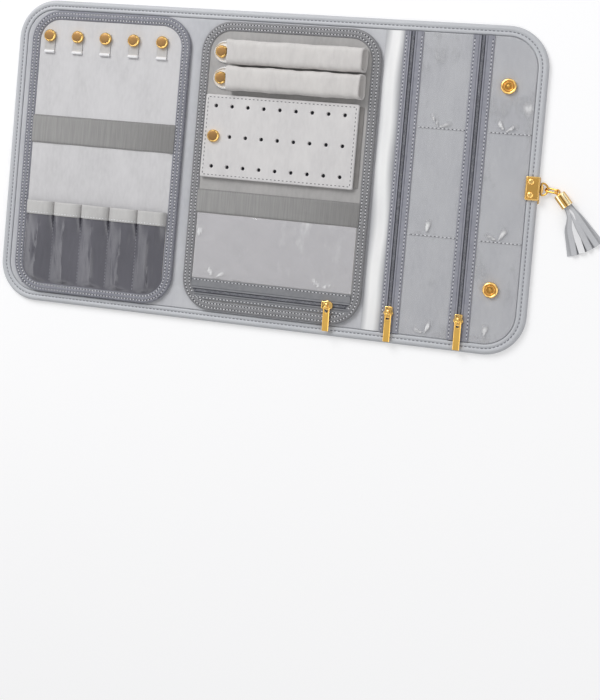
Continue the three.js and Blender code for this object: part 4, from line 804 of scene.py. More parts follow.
s, v = grid_of(np.linspace(0, 5, 5 * 26 + 1), np.linspace(0, 1, 86))
which, u = pocket_at(s)
x = POCKET_START + POCKET_PITCH * s
y = POCKET_MOUTH + (POCKET_FOOT - POCKET_MOUTH) * v
chance = np.random.default_rng(11)
wander = 0.10 * np.sin(v * 5 + which * 2.1) * np.sin(np.pi * v)
ridge = 0.92 * np.clip(1 - np.abs(u - wander * (1 - u**2)) ** 1.25, 0, 1) + 0.13 * bell(u - wander, 0.06)
tented = smooth((v - 0.1) / 0.3)
height = POCKET_DEPTH * (1 - 0.42 * v**2) * ((1 - tented) * mouth_bulge(u) + tented * ridge)
free = (1 - u**2) * np.clip((v - 0.14) / 0.12, 0, 1)
for k in range(5):
    for _ in range(12):
        cu, cv = chance.uniform(-0.75, 0.75), chance.uniform(0.25, 0.92)
        lean, length = chance.uniform(-0.5, 0.5), chance.uniform(0.10, 0.28)
        width, size = chance.uniform(0.05, 0.12), chance.uniform(-0.8, 0.85)
        crease = bell(u - cu - lean * (v - cv) * 2.5, width) * bell(v - cv, length)
        height = height + size * crease * (which == k) * free
rise = 1 - np.exp(-np.clip(inside_left_binding(x, y), 0, None) / 2.2)
top = 7.42 + np.maximum(height, 0) * rise + 0.35
surface = np.stack([x, y, top], -1)
cells = np.cross(surface[1:, :-1] - surface[:-1, :-1], surface[:-1, 1:] - surface[:-1, :-1])
pocket_satin = satin("pocket_satin", colour(99, 98, 107), colour(70, 70, 78), 0.27)
pockets = make_piece("satin_pocket_row", slab(x, y, top, top - 0.4), pocket_satin, "left_panel")
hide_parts("satin_pockets")
seams = []
for k in range(1, 5):
    x = POCKET_START + POCKET_PITCH * k
    seams.append(thread_row([(x, SEAM_START, SEAM_LEVEL), (x, SEAM_STOP, SEAM_LEVEL)], *SEAM_STITCH))
seam_thread = thread("seam_thread", colour(168, 169, 178), colour(130, 132, 142))
make_piece("pocket_seam_stitches", seams, seam_thread, "left_panel", weld=False)

# The pockets' trim: a doubled strip of the pad's suede folded over the satin's upper edge, so that the mouths
# keep their curve, and sewn along its lower edge with white thread.
TRIM_FOOT = -52.3
TRIM_TOP = POCKET_MOUTH + 0.7
TRIM_STITCH = (2.5, 1.6, 0.8, 0.55)
s, v = grid_of(np.linspace(0, 5, 5 * 30 + 1), np.linspace(0, 1, 15))
x = POCKET_START + POCKET_PITCH * s
y = TRIM_FOOT + (TRIM_TOP - TRIM_FOOT) * v
bow = PAD_TOP + POCKET_DEPTH * mouth_bulge(pocket_at(s)[1])
rounding = 0.45 * np.clip((np.abs(v - 0.5) - 0.42) / 0.08, 0, 1) ** 2
lane = 0.22 * bell(v - 0.12, 0.05)
top = bow + 1.35 - rounding - lane + 0.05 * np.sin(x * 0.9)
trim_suede = suede("trim_suede", colour(205, 204, 203), colour(186, 185, 185), colour(215, 214, 213))
parts = slab(x, y, top, bow + 0.38)
trim = make_piece("pocket_mouth_trim", parts, trim_suede, "left_panel", sharp=60)
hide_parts("pocket_trim")
s = np.linspace(0.03, 4.97, 400)
height = PAD_TOP + POCKET_DEPTH * mouth_bulge(pocket_at(s)[1]) + 1.25
line = np.stack([POCKET_START + POCKET_PITCH * s, np.full(400, TRIM_FOOT + 1.4), height], 1)
row = thread_row(line, *TRIM_STITCH)
make_piece("trim_stitches", [row], white_thread, "left_panel", weld=False)

# The ring rolls: two bars of foam in pale suede. At the left each is gathered into a flat tongue that a snap
# holds to the pad. At the right it is sewn down, and cut at a slant that clears the binding as it lifts.
ROLLS = {"upper": (91.0, -62.0), "lower": (70.2, -61.0)}  # middle line and the tongue's tip
ROLL_END = 62.0
ROLL_HALF_WIDTH, ROLL_HEIGHT = 9.6, 10.6
TONGUE_LENGTH, TONGUE_HALF_WIDTH = 13.0, 9.0
pale_suede = suede("pale_suede", colour(220, 217, 215), colour(204, 201, 200), colour(230, 227, 225))


def rolled_tube(y0, mouth, seed):
    """Closed bar whose section is a rounded rectangle, crumpled a little. Both ends are open sleeves: the
    wall turns in over a soft lip and runs back to a floor deep inside. At the left the lip's two upper
    corners stand out as ears."""
    near = np.array([7.0, 3.5, 0.9, 0.2, 0.0, 0.25, 0.9, 2.0, 3.6])
    inner = np.array([1.7, 1.6, 1.5, 1.2, 0.6, 0.12, -0.1, -0.1, 0.0])
    middle = np.linspace(mouth + 5, ROLL_END - 5, 64)
    xs = np.concatenate([mouth + near, middle, ROLL_END - near[::-1]])[:, None]
    draw = np.concatenate([inner, 0 * middle, inner[::-1]])[:, None]
    turn = np.radians(np.arange(0, 360, 6) + 3.0)
    cos, sin = np.cos(turn), np.sin(turn)
    wave = 1 + 0.02 * np.sin(xs * 0.16 + seed) + 0.012 * np.sin(xs * 0.41 + 2 * seed)
    folds = 0.12 * np.sin(xs * 0.55 + 3 * cos + seed) * np.sin(xs * 0.13 + 2 * sin)
    tall = (ROLL_HEIGHT * wave - 2 * draw) / 2
    y = y0 + (ROLL_HALF_WIDTH * wave - draw + folds) * np.sign(cos) * np.abs(cos) ** 0.48
    z = draw + tall * (1 + np.sign(sin) * np.abs(sin) ** np.where(sin < 0, 0.5, 0.8)) + folds * (sin > 0.3)
    close = bell(xs - mouth, 3.0) * (draw < 1.0)
    ear = close * np.clip(sin, 0, 1) * np.abs(cos) ** 0.5
    far = bell(xs - ROLL_END, 4.5)
    z = z + 0.5 * ear
    y = y + ear * np.sign(cos) * np.where(cos > 0, 1.3, 0.6)
    x = xs - ear * np.where(cos > 0, 2.6, 1.3) + 0.25 * np.sin(5 * turn + seed) * close
    x = x + far * (0.6 - 0.3 * z) + 0.15 * far * np.sin(4 * turn + seed)
    return lofted(np.stack([x, y, PAD_TOP + z], -1))


def tongue(y0, tip, end):
    """Flat tongue with a pointed round tip and a curled edge, creased towards its snap, that runs into the
    tube's mouth."""
    share = np.concatenate([np.sin(np.radians(np.linspace(1, 90, 18))), np.linspace(1, 2.2, 8)[1:]])
    u, v = grid_of(share, np.linspace(-1, 1, 37))
    x = tip + (end - tip) / 2.2 * u + 1.2 * v**2 * np.clip(u, 0, 1)
    y = y0 + TONGUE_HALF_WIDTH * v * np.where(u < 1, np.sqrt(np.clip(1 - (1 - u) ** 2, 0, 1)), 1)
    edge = np.maximum(np.abs(v), 1 - u)
    crease = 0.6 * bell(v - 0.75 + 0.25 * u, 0.07) - 0.35 * bell(v + 0.45 + 0.1 * u, 0.08)
    top = PAD_TOP + 0.62 + 1.1 * bell(edge - 0.9, 0.09) + crease * np.clip(u, 0, 1) * (edge < 0.9)
    return slab(x, y, top, PAD_TOP)


# The tongues are a much lighter copy of the rolls' suede: painted highlight.
tongue_suede_painted_highlight = suede("tongue_suede_painted_highlight", colour(246, 246, 246), colour(222, 222, 223), colour(252, 252, 252))
for k, (name, (y0, tip)) in enumerate(ROLLS.items()):
    mouth = tip + TONGUE_LENGTH
    body = f"{name}_ring_roll"
    tube_part = rolled_tube(y0, mouth, 1.3 + 2.1 * k)
    roll = make_piece(f"padded_roll_{name}", [tube_part], pale_suede, body, sharp=55)
    parts = tongue(y0, tip - 1.0, mouth + 6)
    make_piece(f"roll_tongue_{name}", parts, tongue_suede_painted_highlight, body, sharp=55)
    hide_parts(f"ring_roll_{name}")

# The earring card: a stiff board covered in pale suede-finish faux leather, sewn all round in grey, with
# three rows of punched holes. A snap holds its left edge, and it turns about the seam at its right.
CARD = (-65.9, 59.5, -9.4, 56.8)
CARD_RADIUS = 1.5
CARD_TOP, CARD_FOOT = 10.8, 7.4
CARD_EDGE = [
    (1.5, 7.4), (0.7, 7.4), (0.2, 7.6), (0, 8.1), (0, 9.9), (0.1, 10.35), (0.35, 10.66), (0.8, 10.8),
    (1.5, 10.8),
]
CARD_STITCH_INSET = 2.2
CARD_STITCH = (3.3, 1.9, 0.6, 0.45)
HOLE_RADIUS, HOLE_PITCH, HOLE_MARGIN = 1.5, 13.2, 9.0
SNAP_HOLE_RADIUS = 2.7
HOLE_COLUMNS = CARD_SNAP[0] + HOLE_PITCH * np.arange(9)
HOLE_ROWS = np.array([CARD[2] + HOLE_MARGIN, (CARD[2] + CARD[3]) / 2, CARD[3] - HOLE_MARGIN])
HOLE_FLOOR = CARD_FOOT + 0.7
HOLE_LIP = [(1.5, 0.0), (1.28, 0.03), (1.08, 0.14), (1.0, 0.4)]


def stretches(stops, counts):
    """Places from the first stop to the last, with this many steps between each two."""
    lines = [np.linspace(a, b, n + 1)[:-1] for a, b, n in zip(stops, stops[1:], counts)]
    return np.concatenate([*lines, stops[-1:]])


def block_border(grid, i0, i1, j0, j1):
    """Places round a block of a grid, anticlockwise from its first corner."""
    return np.concatenate([grid[i0:i1, j0], grid[i1, j0:j1], grid[i1:i0:-1, j1], grid[i0, j1:j0:-1]])


def pierced_sheet(xs, ys, holes, top, foot, lip):
    """Both faces of a sheet over a grid of places, and its round holes. Each hole takes a block of the grid,
    given by its first and last column and row, a centre and a radius. lip, as shares of the radius and drops,
    is its rounded edge."""
    grid = np.stack(grid_of(xs, ys), -1)
    cut = np.zeros((len(xs) - 1, len(ys) - 1), bool)
    for i0, i1, j0, j1, _, _ in holes:
        cut[i0:i1, j0:j1] = True
    faces = [face for face, gone in zip(grid_faces(len(xs), len(ys)), cut.ravel()) if not gone]
    parts = [(raised(grid, top), faces), (raised(grid, foot), faces)]
    for *block, centre, radius in holes:
        around = block_border(grid, *block)
        way = around - centre
        way /= np.linalg.norm(way, axis=1, keepdims=True)
        lines = [(around, 0)] + [(centre + way * radius * share, drop) for share, drop in lip]
        loops = [raised(line, top - drop) for line, drop in lines]
        loops += [raised(line, foot + drop) for line, drop in lines[::-1]]
        parts.append(wrapped(np.array(loops)))
    return parts


def holed_leaf():
    """Leaf with holes, whose edge is a rounded profile carried round the outline."""
    x0, x1, y0, y1 = CARD
    r, m = CARD_RADIUS, 6
    between = HOLE_COLUMNS[0] + HOLE_PITCH * (np.arange(10) - 0.5)
    xs = stretches([x0 + r, *between, x1 - r], [m] * 11)
    ys = stretches([y0 + r, *np.ravel([HOLE_ROWS - 6, HOLE_ROWS + 6], "F"), y1 - r], [m] * 7)
    holes = []
    for c, cx in enumerate(HOLE_COLUMNS, 1):
        for k, cy in zip((1, 3, 5), HOLE_ROWS):
            near_snap = np.hypot(cx - CARD_SNAP[0], cy - CARD_SNAP[1]) < 3
            radius = SNAP_HOLE_RADIUS if near_snap else HOLE_RADIUS
            holes.append((c * m, (c + 1) * m, k * m, (k + 1) * m, (cx, cy), radius))
    base, out = grid_outline(xs, ys, 6)
    rings = drawn_in(base, -out, [(distance - r, height) for distance, height in CARD_EDGE])
    return [*pierced_sheet(xs, ys, holes, CARD_TOP, CARD_FOOT, HOLE_LIP), wrapped(rings)]


card_suede = suede("card_suede", colour(224, 222, 222), colour(209, 207, 208), colour(233, 231, 231))
card = make_piece("holed_card", holed_leaf(), card_suede, "earring_leaf", sharp=50)
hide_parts("earring_card")
# Dark discs of painted shade at the bottom of the card's holes.
hole_floor = [(HOLE_RADIUS, 0), (HOLE_RADIUS, 0.3), (0.2, 0.3)]
floors = [turned_part(hole_floor, (cx, cy, HOLE_FLOOR), 16) for cx in HOLE_COLUMNS for cy in HOLE_ROWS]
make_piece("card_hole_floors", floors, needle_hole_shade, "earring_leaf")
grey_thread = thread("grey_thread", colour(104, 104, 109), colour(70, 70, 75))
x0, x1, y0, y1 = CARD
left, right = x0 + CARD_STITCH_INSET, x1 - CARD_STITCH_INSET
low, high = y0 + CARD_STITCH_INSET, y1 - CARD_STITCH_INSET
corners = raised([(left, low), (right, low), (right, high), (left, high)], CARD_TOP + 0.02)
rows = [thread_row(ends, *CARD_STITCH) for ends in zip(corners, np.roll(corners, -1, 0))]
make_piece("card_stitches", rows, grey_thread, "earring_leaf", weld=False)
HINGE_SPAN = (x1 - 0.8, 62.9)
x, y = grid_of(np.linspace(*HINGE_SPAN, 12), np.linspace(y0 + 1.8, y1 - 1.8, 60))
drop = (x - HINGE_SPAN[0]) / (HINGE_SPAN[1] - HINGE_SPAN[0])
top = 9.6 - 1.7 * drop**0.7 + 0.12 * np.sin(y / 5)
# The hinge strip's dark suede is a painted shadow cast by the card's thick edge.
hinge_suede_painted_shadow = suede("hinge_suede_painted_shadow", colour(142, 139, 137), colour(118, 116, 115), colour(156, 153, 151))
parts = slab(x, y, top, np.minimum(7.42, top - 0.3))
make_piece("card_hinge", parts, hinge_suede_painted_shadow, "earring_leaf")

# The clear pocket and the two flap windows: soft clear vinyl, sewn down all round. It lies a little wavy,
# with small fans of pleats where it is pulled towards the seams. White glints on these fans, and white
# streaks over the film, are painted highlights.
FILMS = {
    "clear_pocket": (-65.9, 64.9, -90.1, -38.3, 7.5, "middle_panel", 1.3),
    "window_inner": (104.2, 141.6, -SATIN_HALF, SATIN_HALF, 4.66, "flap", 0.9),
    "window_outer": (158.7, 192.0, -SATIN_HALF, SATIN_HALF, 4.66, "flap", 0.8),
}
FILM_THICKNESS = 0.25
WINDOW_SEAMS = (43.5, -39.1)
WINDOW_STITCH, WINDOW_HOLE = (3.0, 1.7, 0.7, 0.5), (3.0, 0.8, 0.6, 0.4)
WINDOW_CORNER, WINDOW_CORNER_Y = 23.7, 116.7
SOCKETS = ((171.8, 79.05), (171.8, -75.25))
SOCKET_HOLE_RADIUS = 6.35
SOCKET_BLOCK = 8  # half the side of the block of the grid round a socket's hole
# Seam places where the film is pulled into pleats that carry painted highlights.
GLINTS = [
    (121, 44.6), (119, -38.0), (124, -114), (172, 44.6), (174, -38.0), (169, -113), (-48, -89), (40, -89),
    (-63, -60),
]


def clear_vinyl(name, base, veil):
    """Clear film: glossy, with a faint veil of its own tone over what is behind it, and painted highlights:
    white streaks from noise, and white where the mesh's marks say the film is pulled."""
    material = new_material(name, base, 0.07, Specular_IOR_Level=0.9)
    sharp = arithmetic(material, "POWER", noise(material, 55, 4.0, (1, 0.45, 1), 0.56, 0.74), 2.2)
    pull = add_node(material, "Attribute", output="Fac", attribute_name="marks")
    pull = arithmetic(material, "MULTIPLY", pull, noise(material, 260, 2.0, (1, 0.3, 1), 0.3, 0.45))
    white = arithmetic(material, "MULTIPLY", pull, 0.85)
    alpha = arithmetic(material, "MAXIMUM", remap(material, sharp, 0.0, 1.0, veil, 0.55), white)
    feed(material, shader_inputs(material)["Alpha"], alpha)
    sharp = arithmetic(material, "MAXIMUM", sharp, pull)
    vary(material, [(sharp, (0.95, 0.95, 0.96, 1))], noise(material, 70, 3.0), 0.0006, 0.7)
    return material


def glints(x, y):
    """Where the film is pulled into a small fan of pleats over a seam: how white it goes there, a painted
    highlight, and the height of the pleats."""
    pull, rise = np.zeros(np.shape(x)), np.zeros(np.shape(x))
    for cx, cy in GLINTS:
        away = np.hypot(x - cx, y - cy)
        turn = np.arctan2(x - cx, y - cy)
        fan = bell(away, 9.5, 4) * np.clip(np.cos(turn) + 0.3, 0, 1) * (y > cy - 0.4)
        fan = fan * np.clip(np.cos(3.6 * turn + cx), 0, 1) ** 2
        pull = np.maximum(pull, 1.6 * fan)
        rise = rise + 0.9 * fan * np.clip(away / 2, 0, 1)
    return np.clip(pull, 0, 1), rise


def lay_film(points, x0, x1, base, loose, cells, round_ends):
    """Lays flat points of a film over its place: it puffs up in each of its cells, ripples, and follows the
    flap's round corners and the sockets if it lies there."""
    x, y, z = np.moveaxis(points, -1, 0)
    w = np.interp(y, cells, np.arange(len(cells)))
    v = 2 * (w - np.floor(np.minimum(w, len(cells) - 1.001))) - 1
    puff = np.clip((1 - np.abs(centred(x, x0, x1)) ** 3) * (1 - np.abs(v) ** 6), 0, 1)
    for cx, cy in SOCKETS if round_ends else ():
        puff = puff * np.clip(np.hypot(x - cx, y - cy) / 6 - 1.1, 0, 1)
    ripple = 0.5 * np.sin(x / 4.1 + 1.7 * np.sin(y / 11)) * np.sin(y / 7.3 + x / 15)
    ripple = ripple + 0.4 * np.sin((x + y) / 5.2)
    height = base + 0.3 + loose * puff * (0.55 + 0.4 * ripple) + glints(x, y)[1]
    if round_ends:
        past = np.clip(np.abs(y) + WINDOW_CORNER - WINDOW_CORNER_Y, 0, WINDOW_CORNER)
        end = x1 - WINDOW_CORNER + np.sqrt(WINDOW_CORNER**2 - past**2)
        x = x0 + (x - x0) * (end - x0) / (x1 - x0)
    return np.stack([x, y, z + height], -1)


vinyl = {
    "flap": clear_vinyl("window_vinyl", (0.4, 0.4, 0.42, 1), 0.07),
    # The pocket's film has a pale, thicker veil: partly its own tone, partly a painted highlight lightening
    # the pad behind it.
    "middle_panel": clear_vinyl("pocket_vinyl", (0.86, 0.85, 0.89, 1), 0.3),
}
for name, (x0, x1, y0, y1, base, body, loose) in FILMS.items():
    xs, ys, holes = np.linspace(x0, x1, 60), np.linspace(y0, y1, max(int((y1 - y0) / 1.6), 30)), []
    if name == "window_outer":
        middle = SOCKETS[0][0]
        xs = stretches([x0, middle - SOCKET_BLOCK, middle + SOCKET_BLOCK, x1], [7, 16, 15])
        stops = [cy + way * SOCKET_BLOCK for _, cy in SOCKETS[::-1] for way in (-1, 1)]
        ys = stretches([y0, *stops, y1], [24, 16, 86, 16, 20])
        for centre, row in zip(SOCKETS[::-1], (24, 126)):
            holes.append((7, 23, row, row + 16, centre, SOCKET_HOLE_RADIUS))
    cells = np.array([y0, *WINDOW_SEAMS[::-1], y1] if body == "flap" else [y0, y1])
    over, under, *rims = pierced_sheet(xs, ys, holes, 0, -FILM_THICKNESS, [(1.12, 0), (1, 0)])
    wall = np.array([block_border(face[0], 0, len(xs) - 1, 0, len(ys) - 1) for face in (over, under)])
    parts = []
    for points, faces in (over, under, wrapped(wall), *rims):
        parts.append((lay_film(points, x0, x1, base, loose, cells, bool(holes)), faces))
    # Painted highlights where the film is pulled.
    marks = glints(*all_points(parts).T[:2])[0]
    film = make_piece(name + "_film", parts, vinyl[body], body, sharp=80, marks=marks)
    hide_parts(name)
rows, pits = [], []
for y in WINDOW_SEAMS:
    for a, b in ((104.6, 141.4), (158.9, 191.6)):
        rows.append(thread_row([(a, y, 5.05), (b, y, 5.05)], *WINDOW_STITCH))
        pits.append(thread_row([(a + 1.5, y, 5.0), (b + 1.5, y, 5.0)], *WINDOW_HOLE))
make_piece("window_cross_stitches", rows, white_thread, "flap", weld=False)
# Dark bars of painted shade in the windows' needle holes.
make_piece("window_needle_holes", pits, needle_hole_shade, "flap", weld=False)

# The zips: woven tape folded along both sides of a nylon coil that is sewn to it from behind, so that the
# front shows two sunken channels with the closed coil between them, darkened by painted shade. White thread
# holds the tape's outer edges.
ZIPS = {
    "first_zip": (89.3, 103.9, 95.7, -116.6, 116.6, 4.6, "flap"),
    "second_zip": (141.9, 158.3, 149.9, -116.6, 116.6, 4.6, "flap"),
    "pocket_zip": (-107.2, -90.5, -100.5, -66.0, 65.0, PAD_TOP, "middle_panel"),
}
# Across the tape, from the coil's middle and from its edge: distance, height over its underside, painted
# shade
TAPE_SECTION = np.array([
    (0, 0.3, 0.3), (0.95, 0.3, 0.9), (1.1, 0.3, 1), (1.5, 0.4, 1), (1.62, 1.0, 0.7), (1.8, 1.2, 0),
    (2.6, 1.12, 0), (2.95, 0.95, 0.1), (3.1, 0.7, 0.65), (3.3, 0.7, 0.6), (3.5, 0.85, 0), (4.4, 0.85, 0),
])
TAPE_EDGE = np.array([(0, 0.35, 0.2), (0.25, 0.7, 0), (0.8, 0.76, 0), (1.3, 0.58, 0.3), (1.8, 0.76, 0)])
# Thread and needle holes: how far along they start, height, and size
TAPE_STITCHES = ((0, 0.74, (2.9, 1.6, 0.7, 0.5)), (1.45, 0.66, (2.9, 0.9, 0.75, 0.4)))
COIL_TURN = (1.1, 1.35, 0.8, 0.7)
COIL_LEAN = 78  # degrees
MIRRORED = (-1, 1, 1)


def zip_weave(name, base, dark):
    """Plain weave tape: a fine grid of raised threads, with painted shade in the channels, marked on the
    mesh.
    """
    material = new_material(name, base, 0.85, Sheen_Weight=0.15)
    place = add_node(material, "TexCoord", output="Object")
    warp, weft = [
        add_node(material, "TexWave", {"Vector": place, "Scale": 520.0}, "Fac", bands_direction=axis)
        for axis in "XY"
    ]
    woven = arithmetic(material, "MULTIPLY", warp, weft)
    vary(material, [(noise(material, 260, 3.0, share=0.4), dark)], woven, 0.0001)
    streaked(material, [(0.0, 1.0, colour(76, 78, 87))])
    return material


zip_tape = {
    "flap": zip_weave("zip_tape_weave", colour(156, 157, 167), colour(132, 133, 144)),
    "middle_panel": zip_weave("pocket_zip_weave", colour(140, 141, 145), colour(118, 119, 123)),
}
coil_nylon = new_material("coil_nylon", colour(156, 157, 164), 0.35, Specular_IOR_Level=0.6)
vary(coil_nylon, [(noise(coil_nylon, 400), colour(124, 125, 133))], noise(coil_nylon, 2000), 0.00002)
for name, (a0, a1, coil, b0, b1, base, body) in ZIPS.items():
    order = [0, 1, 2] if body == "flap" else [1, 0, 2]  # the pocket's zip runs along X
    section = np.concatenate([
        TAPE_EDGE + (a0, 0, 0), TAPE_SECTION[::-1] * MIRRORED + (coil, 0, 0), TAPE_SECTION[1:] + (coil, 0, 0),
        TAPE_EDGE[::-1] * MIRRORED + (a1, 0, 0),
    ])
    places = np.unique(np.concatenate([section[:, 0], np.linspace(a0, a1, 30)]))
    p, q = grid_of(places, np.linspace(b0, b1, 140))
    top = base + np.interp(p, section[:, 0], section[:, 1]) + 0.04 * np.sin(q / 3.1)
    x, y = (p, q) if body == "flap" else (q, p)
    parts = slab(x, y, top, base - 0.05)
    # Painted shade in the tape's low places, from the section's last column.
    marks = np.zeros(len(all_points(parts)))
    marks[: x.size] = np.interp(p, section[:, 0], section[:, 2]).ravel()
    tape = make_piece(
        name + "_woven_tape", parts, zip_tape[body], body, sharp=60, marks=marks, weld=False
    )
    coils = []
    for way, shift in ((-1, 0), (1, 0.55)):
        at = coil + way * 0.45
        ends = np.array([(at, b0 + 4 + shift, base + 1), (at, b1 - 4 + shift, base + 1)])
        coils.append(thread_row(ends[:, order], *COIL_TURN, np.radians(COIL_LEAN * way)))
    make_piece(name + "_coil", coils, coil_nylon, body, weld=False)
    sewn = []
    for shift, height, size in TAPE_STITCHES:
        rows = []
        for at in (a0 + 1.3, a1 - 1.3):
            ends = np.array([(at, b0 + 1 + shift, base + height), (at, b1 - 3 + shift, base + height)])
            rows.append(thread_row(ends[:, order], *size))
        sewn.append(rows)
    make_piece(name + "_stitches", sewn[0], white_thread, body, weld=False)
    # Dark bars of painted shade in the zip tape's needle holes.
    make_piece(name + "_needle_holes", sewn[1], needle_hole_shade, body, weld=False)
    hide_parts(name + "_tape")

# The zip sliders and pullers: gold-plated shoes with a neck, two pointed ears and a tail, a strap-like bail
# over each, and a flat bar of a puller that swings in the bail, with an oval hole at its head.
SLIDERS = {
    "first": (95.7, -100.7, 4.6, 23.0, 7.2),
    "second": (149.9, -100.7, 4.6, 23.0, 7.2),
    "pocket": (47.3, -100.5, PAD_TOP, 20.4, 9.1),
}
SHOE_SIDE = [
    (0.0, 1), (0.7, 1), (0.77, 0.88), (0.71, 0.5), (0.78, 0.25), (1, -0.1), (0.93, -0.28), (0.66, -0.55),
    (0.6, -0.9), (0.3, -1),
]
SHOE_HALF_WIDTH, SHOE_HALF_LENGTH = 3.95, 4.5
# Heights over the tape's underside
SHOE_LEVELS = [(0.5, 1.4), (0.12, 1.45), (0, 1.65), (0, 2.45), (0.14, 2.76), (0.5, 2.94), (1.0, 3.0)]
RAIL_LEVELS = [(0.1, 1.1), (0, 1.2), (0, 1.5)]
BAIL = [(-2.0, 2.9), (-2.08, 3.5), (-1.9, 4.1), (-1.35, 4.55), (-0.6, 4.7)]
PIVOT_HEIGHT = 3.65
PULLER_HOLE_Y, PULLER_HOLE_HALVES = -3.8, (1.55, 2.1)


def cut_corners(outline):
    """Closed outline made smoother, twice over: points a quarter along its two sides replace each corner."""
    for _ in range(2):
        ahead = np.roll(outline, -1, 0)
        outline = np.stack([0.75 * outline + 0.25 * ahead, 0.25 * outline + 0.75 * ahead], 1).reshape(-1, 2)
    return outline


def round_rectangle(x0, x1, y0, y1, radii, steps):
    """Outline of a rectangle, anticlockwise from its lower left corner, with a radius for each corner."""
    points = []
    for k, (x, y, r) in enumerate(zip((x0, x1, x1, x0), (y0, y0, y1, y1), radii)):
        turn = np.radians(180 + 90 * k + np.linspace(0, 90, steps))
        sx, sy = (1, -1, -1, 1)[k], (1, 1, -1, -1)[k]
        points.append(np.stack([x + sx * r + r * np.cos(turn), y + sy * r + r * np.sin(turn)], 1))
    return np.concatenate(points)


def tube(points, side, half_wide, half_thick, closed, sides=14):
    """Tube along a line of points. side is the direction of its section's width, square to the line. A
    section as thick as wide is round, another one nearly a rectangle."""
    ahead = np.roll(points, -1, 0) - np.roll(points, 1, 0) if closed else np.gradient(points, axis=0)
    out = np.cross(ahead, side)
    out /= np.linalg.norm(out, axis=1, keepdims=True)
    turn = np.arange(sides) * 2 * np.pi / sides
    power = 1 if half_wide == half_thick else 0.6
    c, s = [np.sign(wave) * np.abs(wave) ** power for wave in (np.cos(turn), np.sin(turn))]
    rings = points[:, None] + np.asarray(side) * (half_wide * c)[:, None]
    rings = rings + out[:, None] * (half_thick * s)[:, None]
    return wrapped(rings, lengthwise=True) if closed else lofted(rings)


def puller_loops(length):
    """Loops of points over a puller's outside and back through its hole, as long as its outline's points
    need. It hangs from the middle of its end, along -Y."""
    corners = round_rectangle(-2.55, 2.55, -length, -0.6, (0.4, 0.4, 1.5, 1.5), 4)
    bar = np.concatenate([
        np.linspace(a, b, max(int(np.linalg.norm(b - a) / 0.4), 1) + 1)[:-1]
        for a, b in zip(corners, np.roll(corners, -1, 0))
    ])
    x, y = (bar - (0, PULLER_HOLE_Y)).T / np.array(PULLER_HOLE_HALVES)[:, None]
    way = np.stack([x, y], 1) / np.hypot(x, y)[:, None]
    hole = way * PULLER_HOLE_HALVES + (0, PULLER_HOLE_Y)
    loops = [*drawn_in(bar, -edge_normals(bar), ((0.22, -0.45), (0, -0.2), (0, 0.1), (0.45, 0.45)))]
    return np.array(loops + [*drawn_in(hole, way, ((0.18, 0.45), (0, 0.3), (0, -0.3), (0.18, -0.45)))])


half_shoe = np.array(SHOE_SIDE) * (SHOE_HALF_WIDTH, SHOE_HALF_LENGTH)
shoe_outline = cut_corners(np.concatenate([half_shoe, (half_shoe[1:] * (-1, 1))[::-1]]))[::-1]
for name, (x, y, base, length, rest) in SLIDERS.items():
    along_x = name == "pocket"
    shape = (shoe_outline[:, ::-1] * (-1, 1) if along_x else shoe_outline) + (x, y)
    bail = np.array([(0, b, z) for b, z in BAIL] + [(0, -b, z) for b, z in BAIL[::-1]]) + (x, y, base)
    levels, rail = [[(inset, base + z) for inset, z in rows] for rows in (SHOE_LEVELS, RAIL_LEVELS)]
    parts = [outline_block(shape, levels), tube(bail, (1.0, 0, 0), 0.9, 0.3, closed=False)]
    for way in (-1, 1):
        span = (x + way * 2.4 - 0.35, x + way * 2.4 + 0.35, y - 3, y + 3)
        if along_x:
            span = (x - 3, x + 3, y + way * 2.7 - 0.35, y + way * 2.7 + 0.35)
        parts.append(outline_block(round_rectangle(*span, (0.2,) * 4, 3), rail))
    shoe = make_piece(name + "_slider_shoe", parts, bright_gold, name + "_slider", sharp=35)
    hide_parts(name + "_zip_slider")
    across, run, up = np.moveaxis(puller_loops(length), -1, 0)
    tilt = np.arcsin((base + PIVOT_HEIGHT - rest) / length)
    run, up = run * np.cos(tilt) - up * np.sin(tilt), run * np.sin(tilt) + up * np.cos(tilt)
    bar = wrapped(np.stack([x + across, y + run, base + PIVOT_HEIGHT + up], -1), lengthwise=True)
    bar = make_piece(name + "_puller_bar", [bar], puller_gold, name + "_puller", sharp=30)
    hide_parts(name + "_zip_puller")

# The closure snaps: two sockets in the flap, of pressed brass with a ring groove and a sprung bore, and two
# studs behind the left panel that would enter them when the roll is shut.
SOCKET_SECTION = [
    (5.6, 0), (6.0, 0.3), (6.0, 1.6), (5.85, 2.1), (5.4, 2.5), (4.95, 2.6), (4.6, 2.45), (4.4, 2.0),
    (4.25, 1.55), (3.95, 1.5), (3.8, 1.75), (3.65, 2.3), (3.35, 2.6), (2.95, 2.65), (2.7, 2.4), (2.6, 1.9),
    (2.6, 0),
]
BORE_FLOOR = [(2.55, 0.05), (2.55, 1.0), (1.75, 1.05), (1.6, 1.5), (1.3, 1.95), (0.8, 2.1), (0.2, 2.15)]
STUD_SECTION = [
    (5.2, 1.6), (5.5, 1.2), (5.5, 0.3), (5.3, 0.12), (4.6, 0.06), (2.95, 0.06), (2.75, 0.2), (2.5, 0.2),
    (2.4, 0.03), (1.9, 0.0),
]
SOCKET_FLOOR = 4.6
STUD_X = -149.2
for k, (x, y) in enumerate(SOCKETS, 1):
    ring = wrapped(turned_part(SOCKET_SECTION, (x, y, SOCKET_FLOOR))[0], lengthwise=True)
    socket = make_piece(f"socket_ring_{k}", [ring], bright_gold, "flap", sharp=35)
    # The bore's darker gold is painted shade in the recess.
    bore = turned_part(BORE_FLOOR, (x, y, SOCKET_FLOOR), 32)
    make_piece(f"socket_bore_{k}", [bore], plate_gold_painted_shade, "flap", sharp=35)
    stud_part = turned_part(STUD_SECTION, (STUD_X, y, 0))
    stud = make_piece(f"stud_{k}", [stud_part], bright_gold, "left_panel", sharp=35)
    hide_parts(f"closure_socket_{k}")
    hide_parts(f"closure_stud_{k}")
